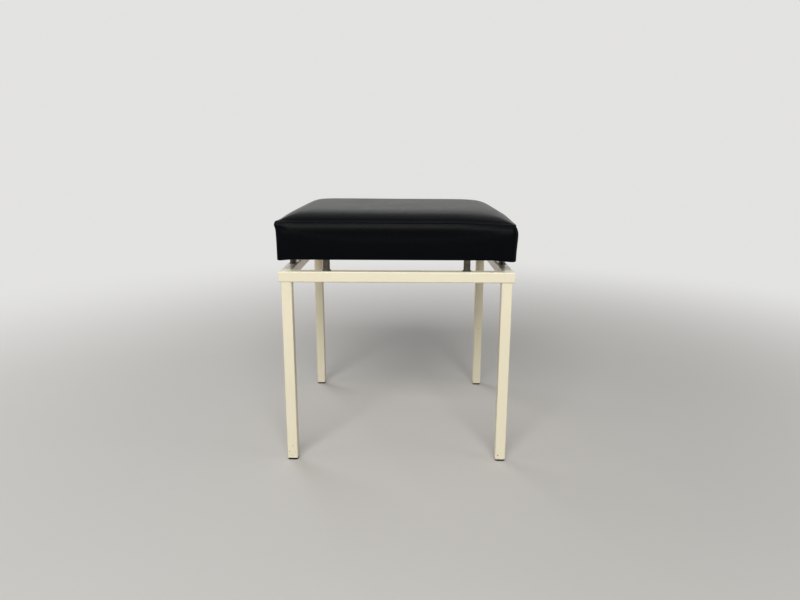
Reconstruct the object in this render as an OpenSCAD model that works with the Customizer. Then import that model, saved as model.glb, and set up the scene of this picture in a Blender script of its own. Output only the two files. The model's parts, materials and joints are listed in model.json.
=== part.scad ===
// Shoe fitting stool: a welded square tube frame with a bolted, upholstered seat held clear of it
// on eight tubular spacers. Millimetres, +Z up, front towards -Y, origin on the floor at the centre.

/* [Frame] */
// Length of the front and back rails
frame_w = 411; // [340:1:520]
// Depth from the face of the front rail to the face of the back rail
frame_d = 420; // [340:1:520]
// Height of the top face of the rails above the floor
rail_top = 356; // [250:1:480]
// Side of the square tube
tube = 19; // [18:0.5:25]
// Wall of the square tube
tube_wall = 1.5; // [1:0.1:2]
// Outer corner radius of the square tube
tube_round = 2; // [1.6:0.1:2.4]
// Distance from the end of a front or back rail to the side of the leg
leg_side_inset = 3.5; // [0:0.5:4]
// Distance from the face of a front or back rail to the face of the leg
leg_face_inset = 1; // [0:0.25:1.5]
// Thickness of the plates that close the rail ends
end_plate_t = 1.5; // [1:0.1:3]
// Leg length of the weld beads
weld = 2.5; // [1.5:0.1:3.5]

/* [Feet] */
// Visible height of the foot below the tube
foot_h = 3.8; // [2:0.1:8]
// Distance that the foot stands back from the faces of the tube
foot_inset = 0.8; // [0.2:0.1:2]
// Depth of the foot's plug inside the tube
plug_l = 14; // [8:1:30]
// Thickness of each rib on the plug
plug_rib_t = 1.2; // [0.6:0.1:2]
// Number of ribs on the plug
plug_ribs = 3; // [1:1:4]
// Distance that a rib stands out from the plug
plug_rib_out = 0.6; // [0.2:0.1:1]

/* [Spacers] */
// Distance between the two spacers on a rail
spacer_pitch = 245; // [120:1:280]
// Distance from the rail's centre line to the spacer, towards the middle of the stool
spacer_inset = 1.5; // [0:0.25:2]
// Outer diameter of a spacer
spacer_d = 12; // [10:0.5:14]
// Length of a spacer
spacer_l = 21.6; // [8:0.2:60]
// Diameter of the washer below a spacer
spacer_washer_d = 16; // [14:0.5:16]
// Thickness of the washers
washer_t = 1.6; // [0.8:0.1:2.5]

/* [Seat bolts] */
// Thread diameter of the bolts
bolt_d = 6; // [4:0.5:7]
// Diameter of the cheese head
bolt_head_d = 10; // [8:0.5:11]
// Height of the cheese head
bolt_head_h = 3.9; // [2.5:0.1:5]
// Width of the slot in the head
bolt_slot_w = 1.6; // [1:0.1:2]
// Depth of the slot in the head
bolt_slot_depth = 1.8; // [0.8:0.1:2]
// Diameter of the washer below the bolt head
bolt_washer_d = 11; // [8:0.5:11]
// Diameter of the hole in a rail's underside that the bolt is driven through
access_d = 12; // [11.5:0.5:12.5]
// Diameter of the flange of an insert nut
insert_flange_d = 13; // [12:0.5:13]
// Thickness of the flange of an insert nut
insert_flange_t = 1.2; // [0.8:0.1:2]
// Outer diameter of the barrel of an insert nut
insert_barrel_d = 9; // [8.5:0.1:10]
// Length of the barrel of an insert nut below its flange
insert_barrel_l = 9; // [4:0.5:9]

/* [Seat] */
// Distance that the seat's seams stand in from the outside of the frame, all round
seat_margin = 1; // [-6:0.5:2]
// Corner radius of the seat in plan
seat_round = 8; // [5:0.5:30]
// Height of the side band, from the seat's underside to the seam
band_h = 61; // [40:1:100]
// Distance that the side band swells out between its edges
band_swell = 1.5; // [0:0.1:4]
// Height of the crown above the seam
crown_h = 18.5; // [5:0.5:40]
// Thickness of the cover material
cover_t = 1.2; // [0.8:0.1:2]
// Radius of the bend where the cover turns under the board
cover_bend = 3; // [2:0.5:6]
// Width of the hem below the board
hem_w = 34; // [28:1:60]
// Thickness of the seat board
board_t = 12; // [11:0.5:20]

/* [Staples] */
// Number of staples along each side of the hem
staples_a_side = 10; // [4:1:14]
// Width of a staple
staple_w = 10; // [6:0.5:14]
// Length of a staple's legs below its crown
staple_leg = 8; // [4:0.5:9]
// Thickness of the staple wire
staple_wire = 0.9; // [0.6:0.1:1.2]
// Distance from the hem's inner edge to the staples
staple_inset = 7; // [4:0.5:10]

/* [Hidden] */
$fn = 64;

// Length by which a cutting shape runs past what it cuts
overrun = 1;
// Clearance of a bolt in a plain hole, and of a thread or a pushed-in part
hole_play = 0.6;
fit_play = 0.2;
// Clearance between the foam and the cover, and of a staple's leg in its slot
foam_play = 0.3;
staple_play = 0.1;

// Frame
rail_bottom = rail_top - tube;
bore = tube - 2 * tube_wall;
bore_round = tube_round - tube_wall;
side_rail_l = frame_d - 2 * tube;
leg_x = frame_w / 2 - leg_side_inset - tube / 2;
leg_y = frame_d / 2 - leg_face_inset - tube / 2;
leg_l = rail_bottom - foot_h;

// Spacers and bolts: plan position on each rail
spacer_x = frame_w / 2 - tube / 2 - spacer_inset;
spacer_y = frame_d / 2 - tube / 2 - spacer_inset;
half_pitch = spacer_pitch / 2;
bolt_hole_d = bolt_d + hole_play;
spacer_z = rail_top + washer_t;
seat_z = spacer_z + spacer_l;
board_z = seat_z + cover_t;
board_top = board_z + board_t;
bolt_start = rail_top - tube_wall - washer_t;
bolt_end = board_top - insert_flange_t;
SPACER_PLACES = [
    [-half_pitch, -spacer_y], [half_pitch, -spacer_y], [-half_pitch, spacer_y], [half_pitch, spacer_y],
    [-spacer_x, -half_pitch], [-spacer_x, half_pitch], [spacer_x, -half_pitch], [spacer_x, half_pitch]
];

// Seat: its outline at the seam, and the outline that the board keeps to inside the cover's bend
seat_w = frame_w - 2 * seat_margin;
seat_d = frame_d - 2 * seat_margin;
seam_z = seat_z + band_h;
board_w = seat_w - 2 * cover_bend;
board_d = seat_d - 2 * cover_bend;
board_round = seat_round - cover_bend + cover_t;
staple_line = hem_w - staple_inset;

// Steps that the soft forms are divided in: round a corner, along a side, over the crown, up the band
corner_steps = 4;
side_steps = 8;
crown_steps = 9;
band_steps = 8;
// Powers of the crown's curve across and along: higher is flatter on top with fuller shoulders
crown_power_across = 13;
crown_power_along = 8;
// Power that draws the crown's rings together near the seam
ring_power = 1.5;

// Square profile with rounded corners, centred
module rounded_square(w, d, r) {
    union() {
        square([w - 2 * r, d], center = true);
        square([w, d - 2 * r], center = true);
        for (x = [-1, 1], y = [-1, 1])
            translate([x * (w / 2 - r), y * (d / 2 - r)]) circle(r);
    }
}

// Section of the tube
module tube_section() {
    difference() {
        rounded_square(tube, tube, tube_round);
        rounded_square(bore, bore, bore_round);
    }
}

// Straight tube of the given length standing on the plane z = 0
module upright_tube(l) {
    linear_extrude(height = l) tube_section();
}

// Tube lying along X, centred on the origin
module tube_along_x(l) {
    rotate([0, 90, 0]) translate([0, 0, -l / 2]) upright_tube(l);
}

// Tube lying along Y, centred on the origin
module tube_along_y(l) {
    rotate([90, 0, 0]) translate([0, 0, -l / 2]) upright_tube(l);
}

// Bolt holes through the upper wall of the rails, and access holes through the lower wall
module rail_holes() {
    for (p = SPACER_PLACES)
        translate([p[0], p[1], rail_top - tube / 2]) {
            cylinder(h = tube / 2 + overrun, d = bolt_hole_d);
            translate([0, 0, -tube / 2 - overrun]) cylinder(h = tube / 2 + overrun, d = access_d);
        }
}

// Front or back rail: side is -1 for the front and 1 for the back
module long_rail(side) {
    color("#ece1c9")
        difference() {
            translate([0, side * (frame_d - tube) / 2, rail_top - tube / 2])
                tube_along_x(frame_w - 2 * end_plate_t);
            rail_holes();
        }
}

// Left or right rail, butted between the front and back rails
module side_rail(side) {
    color("#ece1c9")
        difference() {
            translate([side * (frame_w - tube) / 2, 0, rail_top - tube / 2])
                tube_along_y(side_rail_l);
            rail_holes();
        }
}

// Plates that close the four open rail ends, flush with the tube all round
module rail_end_plates() {
    color("#e6dabf")
        for (x = [-1, 1], y = [-1, 1])
            translate([x * (frame_w - end_plate_t) / 2, y * (frame_d - tube) / 2, rail_top - tube / 2])
                rotate([0, 90, 0])
                    linear_extrude(height = end_plate_t, center = true)
                        rounded_square(tube, tube, tube_round);
}

// Triangular bead, its right angle on the origin, running l along Z and filling +X and +Y
module bead(l) {
    linear_extrude(height = l, center = true) polygon([[0, 0], [weld, 0], [0, weld]]);
}

// Beads at one corner of the frame, drawn for the corner at -X and -Y
module corner_welds() {
    rail_inner_x = tube - frame_w / 2;
    rail_inner_y = tube - frame_d / 2;
    leg_inner_x = tube / 2 - leg_x;
    leg_inner_y = tube / 2 - leg_y;
    leg_outer_x = leg_inner_x - tube;
    // Inner side of the leg to the long rail's underside
    face_start = leg_inner_y - tube + tube_round;
    face_end = rail_inner_y - tube_round;
    translate([leg_inner_x, (face_start + face_end) / 2, rail_bottom])
        rotate([90, 0, 0]) mirror([0, 1, 0]) bead(face_end - face_start);
    // Back of the leg to the side rail's underside
    back_start = leg_outer_x + tube_round;
    back_end = rail_inner_x - tube_round;
    translate([(back_start + back_end) / 2, leg_inner_y, rail_bottom])
        rotate([0, 90, 0]) bead(back_end - back_start);
    // Side rail to the back of the long rail, on the inner corner
    translate([rail_inner_x, rail_inner_y, rail_top - tube / 2]) bead(tube - 2 * tube_round);
}

module frame_welds() {
    color("#dccfb2")
        for (x = [0, 1], y = [0, 1])
            mirror([x, 0, 0]) mirror([0, y, 0]) corner_welds();
}

// Leg at the corner given by the signs of x and y
module leg(x, y) {
    color("#ece1c9") translate([x * leg_x, y * leg_y, foot_h]) upright_tube(leg_l);
}

// Foot insert: a pad below the tube and a ribbed plug inside it
module foot(x, y) {
    pad = tube - 2 * foot_inset;
    rib = bore - fit_play;
    plug = rib - 2 * plug_rib_out;
    rib_gap = (plug_l - plug_ribs * plug_rib_t) / (plug_ribs + 1);
    color("#17171a")
        translate([x * leg_x, y * leg_y, 0])
            union() {
                linear_extrude(height = foot_h) rounded_square(pad, pad, tube_round);
                translate([-plug / 2, -plug / 2, 0]) cube([plug, plug, foot_h + plug_l]);
                for (i = [0:plug_ribs - 1])
                    translate([0, 0, foot_h + rib_gap + i * (plug_rib_t + rib_gap)])
                        linear_extrude(height = plug_rib_t)
                            rounded_square(rib, rib, plug_rib_out);
            }
}

// Ring with a plain round hole, standing on the plane z = 0
module ring(outer_d, hole_d, h) {
    difference() {
        cylinder(h = h, d = outer_d);
        translate([0, 0, -overrun]) cylinder(h = h + 2 * overrun, d = hole_d);
    }
}

// Tubular spacer number i between its washer and the seat
module spacer(i) {
    color("#8c8d8b")
        translate([SPACER_PLACES[i][0], SPACER_PLACES[i][1], spacer_z])
            ring(spacer_d, bolt_hole_d, spacer_l);
}

module spacer_washers() {
    color("#77787a")
        for (p = SPACER_PLACES)
            translate([p[0], p[1], rail_top]) ring(spacer_washer_d, bolt_hole_d, washer_t);
}

module bolt_washers() {
    color("#77787a")
        for (p = SPACER_PLACES)
            translate([p[0], p[1], bolt_start]) ring(bolt_washer_d, bolt_hole_d, washer_t);
}

// Slotted bolts, their heads inside the rails, up through the spacers into the insert nuts
module seat_bolts() {
    color("#9a9b9c")
        for (p = SPACER_PLACES)
            translate([p[0], p[1], bolt_start])
                difference() {
                    union() {
                        translate([0, 0, -bolt_head_h]) cylinder(h = bolt_head_h, d = bolt_head_d);
                        cylinder(h = bolt_end - bolt_start, d = bolt_d);
                    }
                    translate([-bolt_slot_w / 2, -bolt_head_d, -bolt_head_h - overrun])
                        cube([bolt_slot_w, 2 * bolt_head_d, bolt_slot_depth + overrun]);
                }
}

// Insert nuts, their flanges let into the top of the board
module insert_nuts() {
    color("#a8a595")
        for (p = SPACER_PLACES)
            translate([p[0], p[1], board_top - insert_flange_t])
                difference() {
                    union() {
                        cylinder(h = insert_flange_t, d = insert_flange_d);
                        translate([0, 0, -insert_barrel_l]) cylinder(h = insert_barrel_l, d = insert_barrel_d);
                    }
                    translate([0, 0, -insert_barrel_l - overrun])
                        cylinder(h = insert_barrel_l + insert_flange_t + 2 * overrun, d = bolt_d + fit_play);
                }
}

// Centres of the staples along one side of the given length, clear of the corners by a staple's width
function staple_row(l) =
    let (pitch = (l - 2 * staple_line - 3 * staple_w) / (staples_a_side - 1))
    [for (i = [0:staples_a_side - 1]) (i - (staples_a_side - 1) / 2) * pitch];

// Puts its child at every staple, with the staple's crown along X
module at_staples() {
    for (side = [-1, 1]) {
        for (u = staple_row(seat_w))
            translate([u, side * (seat_d / 2 - staple_line), seat_z]) children();
        for (u = staple_row(seat_d))
            translate([side * (seat_w / 2 - staple_line), u, seat_z]) rotate([0, 0, 90]) children();
    }
}

// Slots for the two legs of a staple
module staple_slots() {
    slot = staple_wire + 2 * staple_play;
    for (x = [-1, 1])
        translate([x * (staple_w - staple_wire) / 2 - slot / 2, -slot / 2, -overrun])
            cube([slot, slot, staple_leg + staple_play + overrun]);
}

// Staple: a crown against the hem and two legs up into the board
module staple() {
    union() {
        translate([-staple_w / 2, -staple_wire / 2, -staple_wire]) cube([staple_w, staple_wire, staple_wire]);
        for (x = [-1, 1])
            translate([x * (staple_w - staple_wire) / 2 - staple_wire / 2, -staple_wire / 2, -staple_wire])
                cube([staple_wire, staple_wire, staple_leg + staple_wire]);
    }
}

module hem_staples() {
    color("#b4b4b0") at_staples() staple();
}

module seat_board() {
    color("#b98f5c")
        difference() {
            translate([0, 0, board_z])
                linear_extrude(height = board_t) rounded_square(board_w, board_d, board_round);
            for (p = SPACER_PLACES)
                translate([p[0], p[1], 0]) {
                    translate([0, 0, board_z - overrun])
                        cylinder(h = board_t + 2 * overrun, d = insert_barrel_d + fit_play);
                    translate([0, 0, board_top - insert_flange_t])
                        cylinder(h = insert_flange_t + overrun, d = insert_flange_d + fit_play);
                }
            at_staples() staple_slots();
        }
}

// Swell of the side band at a height above the seat's underside, from the bend up to the seam
function swell(h) = band_swell * sin(180 * (h - cover_bend) / (band_h - cover_bend));

// Outline points of a rounded rectangle at height z, anticlockwise from the corner at +X and +Y
function outline(w, d, r, z) =
    let (corners = [[1, 1], [-1, 1], [-1, -1], [1, -1]])
    [for (k = [0:3]) each
        let (c = corners[k], n = corners[(k + 1) % 4])
        let (cx = c[0] * (w / 2 - r), cy = c[1] * (d / 2 - r))
        let (arc = [for (i = [0:corner_steps])
            let (a = 90 * k + 90 * i / corner_steps) [cx + r * cos(a), cy + r * sin(a), z]])
        let (from = arc[corner_steps])
        let (a2 = 90 * k + 90)
        let (to = [n[0] * (w / 2 - r) + r * cos(a2), n[1] * (d / 2 - r) + r * sin(a2), z])
        concat(arc, [for (i = [1:side_steps - 1]) from + (to - from) * i / side_steps])];

// Closed form through a stack of outlines, with a point at each end
module loft(low, rings, high) {
    n = len(rings[0]);
    last = n * len(rings) + 1;
    points = concat([low], [for (r = rings) each r], [high]);
    sides = [for (j = [0:len(rings) - 2], i = [0:n - 1])
        let (a = 1 + j * n + i, b = a + n)
        let (d = 1 + j * n + (i + 1) % n, c = d + n)
        each [[a, b, c], [a, c, d]]];
    bottom = [for (i = [0:n - 1]) [0, 1 + i, 1 + (i + 1) % n]];
    top = [for (i = [0:n - 1]) [last, last - n + (i + 1) % n, last - n + i]];
    polyhedron(points = points, faces = concat(bottom, sides, top));
}

// Height of the crown at a point of a pad of size w by d
function crown(x, y, w, d) =
    crown_h
    * (1 - pow(min(1, abs(2 * x / w)), crown_power_across))
    * (1 - pow(min(1, abs(2 * y / d)), crown_power_along));

// Outline shrunk to a share of its size and lifted on the crown above height z
function crown_ring(w, d, r, z, share) =
    [for (p = outline(w * share, d * share, r * share, z)) p + [0, 0, crown(p[0], p[1], w, d)]];

// Shares of the rings over the crown, from the seam inwards
ring_shares = [for (i = [1:crown_steps - 1]) 1 - pow(i / crown_steps, ring_power)];

// Foam pad: drawn in at its foot and at the seam, with a crown
module foam_pad() {
    edge = cover_t + foam_play;
    w = seat_w - 2 * edge;
    d = seat_d - 2 * edge;
    r = seat_round - edge;
    top = seam_z - edge;
    side_rings = [for (i = [0:band_steps])
        let (z = board_top + (top - board_top) * i / band_steps)
        let (out = 2 * swell(z - seat_z))
        outline(w + out, d + out, r + out / 2, z)];
    color("#d9c98f")
        loft(
            [0, 0, board_top],
            concat(side_rings, [for (s = ring_shares) crown_ring(w, d, r, top, s)]),
            [0, 0, top + crown_h]
        );
}

// Top panel of the cover: an even skin over the crown, flat where it rests on the side band
module cover_top() {
    w = seat_w - 2 * cover_t;
    d = seat_d - 2 * cover_t;
    r = seat_round - cover_t;
    under = seam_z - cover_t;
    inward = [for (s = ring_shares) crown_ring(w, d, r, seam_z, s)];
    outward = [for (i = [len(ring_shares) - 1:-1:0]) crown_ring(w, d, r, under, ring_shares[i])];
    color("#1b1d1f")
        loft(
            [0, 0, under + crown_h],
            concat(
                outward,
                [outline(w, d, r, under), outline(seat_w, seat_d, seat_round, under)],
                [outline(seat_w, seat_d, seat_round, seam_z), outline(w, d, r, seam_z)],
                inward
            ),
            [0, 0, seam_z + crown_h]
        );
}

// Wall of the side band in section: X is the distance outside the seat's outline, Y the height
module band_section() {
    wall_top = band_h - cover_t;
    steps = [for (i = [0:band_steps]) cover_bend + (wall_top - cover_bend) * i / band_steps];
    polygon(concat(
        [for (i = [0:band_steps]) let (a = -90 + 90 * i / band_steps)
            [cover_bend * (cos(a) - 1), cover_bend * (1 + sin(a))]],
        [for (i = [1:band_steps]) [swell(steps[i]), steps[i]]],
        [for (i = [band_steps:-1:1]) [swell(steps[i]) - cover_t, steps[i]]],
        [for (i = [band_steps:-1:0]) let (a = -90 + 90 * i / band_steps)
            [(cover_bend - cover_t) * cos(a) - cover_bend, cover_bend + (cover_bend - cover_t) * sin(a)]]
    ));
}

// Side band of the cover, turned under the board as a hem
module cover_band() {
    straight_x = seat_w / 2 - seat_round;
    straight_y = seat_d / 2 - seat_round;
    flat_w = seat_w - 2 * cover_bend;
    flat_d = seat_d - 2 * cover_bend;
    color("#121417")
        union() {
            for (side = [0, 180]) {
                rotate([0, 0, side])
                    translate([seat_w / 2, straight_y, seat_z])
                        rotate([90, 0, 0]) linear_extrude(height = 2 * straight_y) band_section();
                rotate([0, 0, side])
                    translate([-straight_x, seat_d / 2, seat_z])
                        rotate([90, 0, 90]) linear_extrude(height = 2 * straight_x) band_section();
            }
            for (k = [0:3])
                translate([
                    (k == 0 || k == 3 ? 1 : -1) * straight_x,
                    (k < 2 ? 1 : -1) * straight_y,
                    seat_z
                ])
                    rotate([0, 0, 90 * k])
                        rotate_extrude(angle = 90) translate([seat_round, 0]) band_section();
            difference() {
                translate([0, 0, seat_z])
                    linear_extrude(height = cover_t) rounded_square(flat_w, flat_d, seat_round - cover_bend);
                translate([hem_w - seat_w / 2, hem_w - seat_d / 2, seat_z - overrun])
                    cube([seat_w - 2 * hem_w, seat_d - 2 * hem_w, cover_t + 2 * overrun]);
                for (p = SPACER_PLACES)
                    translate([p[0], p[1], seat_z - overrun])
                        cylinder(h = cover_t + 2 * overrun, d = bolt_hole_d);
                at_staples() staple_slots();
            }
        }
}

long_rail(-1);  // front_rail
long_rail(1);  // back_rail
side_rail(-1);  // left_rail
side_rail(1);  // right_rail
rail_end_plates();
frame_welds();
leg(-1, -1);  // front_left_leg
leg(1, -1);  // front_right_leg
leg(-1, 1);  // back_left_leg
leg(1, 1);  // back_right_leg
foot(-1, -1);  // front_left_foot
foot(1, -1);  // front_right_foot
foot(-1, 1);  // back_left_foot
foot(1, 1);  // back_right_foot
spacer(0);  // front_rail_left_spacer
spacer(1);  // front_rail_right_spacer
spacer(2);  // back_rail_left_spacer
spacer(3);  // back_rail_right_spacer
spacer(4);  // left_rail_front_spacer
spacer(5);  // left_rail_back_spacer
spacer(6);  // right_rail_front_spacer
spacer(7);  // right_rail_back_spacer
spacer_washers();
bolt_washers();
seat_bolts();
insert_nuts();
seat_board();
foam_pad();
cover_top();
cover_band();
hem_staples();
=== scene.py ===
"""Looks of a shoe fitting stool: finishes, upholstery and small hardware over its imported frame.

The stool is a welded frame of slim square tube in cream enamel, and a thick black leatherette
seat that eight bolts hold clear of the rails on short tubular spacers. All sizes are in metres.
"""

import json
import logging
import math
from collections.abc import Iterator
from contextlib import contextmanager
from dataclasses import dataclass, field
from enum import Enum

import bmesh
import bpy
import numpy as np
from mathutils import Matrix, Vector


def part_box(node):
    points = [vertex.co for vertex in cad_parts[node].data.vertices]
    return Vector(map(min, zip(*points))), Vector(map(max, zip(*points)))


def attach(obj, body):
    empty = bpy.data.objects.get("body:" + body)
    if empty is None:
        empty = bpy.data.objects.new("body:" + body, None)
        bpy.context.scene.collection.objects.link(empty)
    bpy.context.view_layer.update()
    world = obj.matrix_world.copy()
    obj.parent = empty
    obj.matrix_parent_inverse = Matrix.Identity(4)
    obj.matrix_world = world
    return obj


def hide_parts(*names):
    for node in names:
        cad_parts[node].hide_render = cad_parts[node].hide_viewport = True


LOG = logging.getLogger("stool")
MM = 0.001
SAME_PLACE = 0.005 * MM
TINY = 1e-9
BODY = "root"

Material = bpy.types.Material
Mesh = bpy.types.Mesh
Node = bpy.types.Node
Piece = bpy.types.Object
Socket = bpy.types.NodeSocket
Sockets = bpy.types.bpy_prop_collection
Tree = bpy.types.NodeTree
Box = tuple[Vector, Vector]
Colour = tuple[float, float, float]
Faces = list[tuple[int, ...]]
Point = tuple[float, float, float]


class Slot(Enum):
    """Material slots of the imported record."""

    ENAMEL = "cream_enamel"
    PLASTIC = "black_plastic"
    SPACER = "spacer_steel"
    WASHER = "washer_steel"
    BOLT = "bolt_steel"
    INSERT = "insert_steel"
    PLYWOOD = "plywood"
    FOAM = "foam"
    LEATHERETTE = "black_leatherette"
    STAPLE = "staple_wire"


class Wiring:
    """Adds nodes to one tree and links them."""

    def __init__(self, tree: Tree) -> None:
        """Keeps the shader or geometry tree that the nodes go into."""
        self.tree = tree

    def add(self, kind: str, inputs: dict | None = None, **settings: object) -> Node:
        """Adds one node.

        Args:
            kind: Blender's name of the node's type.
            inputs: Value or source socket for each input, by name or number.
            settings: Properties of the node itself.

        Returns:
            The new node.
        """
        node = self.tree.nodes.new(kind)
        for name, value in settings.items():
            setattr(node, name, value)
        for key, value in (inputs or {}).items():
            self.feed(node.inputs[key], value)
        return node

    def feed(self, socket: Socket, value: object) -> None:
        """Links a socket to its source, or sets its value.

        Args:
            socket: Input to feed.
            value: Source socket, or plain value.
        """
        if isinstance(value, Socket):
            self.tree.links.new(value, socket)
        else:
            socket.default_value = value

    def math(self, operation: str, a: object, b: object = 0.0, clamp: bool = False) -> Socket:
        """Joins two values or sockets by one operation, kept from 0 to 1 if clamp is set."""
        node = self.add("ShaderNodeMath", {0: a, 1: b}, operation=operation, use_clamp=clamp)
        return node.outputs[0]

    def times(self, a: object, b: object) -> Socket:
        """Multiplies two values or sockets."""
        return self.math("MULTIPLY", a, b)

    def plus(self, a: object, b: object) -> Socket:
        """Adds two values or sockets."""
        return self.math("ADD", a, b)

    def minus(self, a: object, b: object) -> Socket:
        """Takes the second of two values or sockets from the first."""
        return self.math("SUBTRACT", a, b)

    def vector(self, operation: str, a: object, b: object) -> Node:
        """Joins two vectors by one operation."""
        return self.add("ShaderNodeVectorMath", {0: a, 1: b}, operation=operation)

    def span(self, value: object, low: float, high: float, to_low: float, to_high: float) -> Socket:
        """Maps a value from one range to another, smoothly at both ends.

        Args:
            value: Value to map.
            low: Start of its range.
            high: End of its range.
            to_low: Result at the start.
            to_high: Result at the end.

        Returns:
            The mapped value's socket.
        """
        node = self.add(
            "ShaderNodeMapRange",
            {"Value": value, "From Min": low, "From Max": high, "To Min": to_low, "To Max": to_high},
            interpolation_type="SMOOTHSTEP",
        )
        return node.outputs["Result"]

    def blend(self, share: object, a: object, b: object) -> Socket:
        """Mixes two colours.

        Args:
            share: Share of the second colour.
            a: First colour.
            b: Second colour.

        Returns:
            The mixed colour's socket.
        """
        node = self.add("ShaderNodeMix", data_type="RGBA")
        self.feed(node.inputs[0], share)
        for socket, value in ((node.inputs[6], a), (node.inputs[7], b)):
            self.feed(socket, rgba(value) if isinstance(value, tuple) else value)
        return node.outputs[2]

    def noise(self, place: Socket, scale: object, detail: float = 3.0, rough: float = 0.5) -> Socket:
        """Adds a noise texture with so many cells for each metre and so many octaves."""
        inputs = {"Vector": place, "Scale": scale, "Detail": detail, "Roughness": rough}
        return self.add("ShaderNodeTexNoise", inputs).outputs[0]


def rgba(colour: Colour) -> tuple[float, float, float, float]:
    """Adds a full alpha to a colour."""
    return (*colour, 1.0)


class Effect(Enum):
    """Effects that several finishes share."""

    EDGE_WEAR = "edge_wear"
    SETTLED_DUST = "settled_dust"
    SCUFFS = "scuffs"


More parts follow.
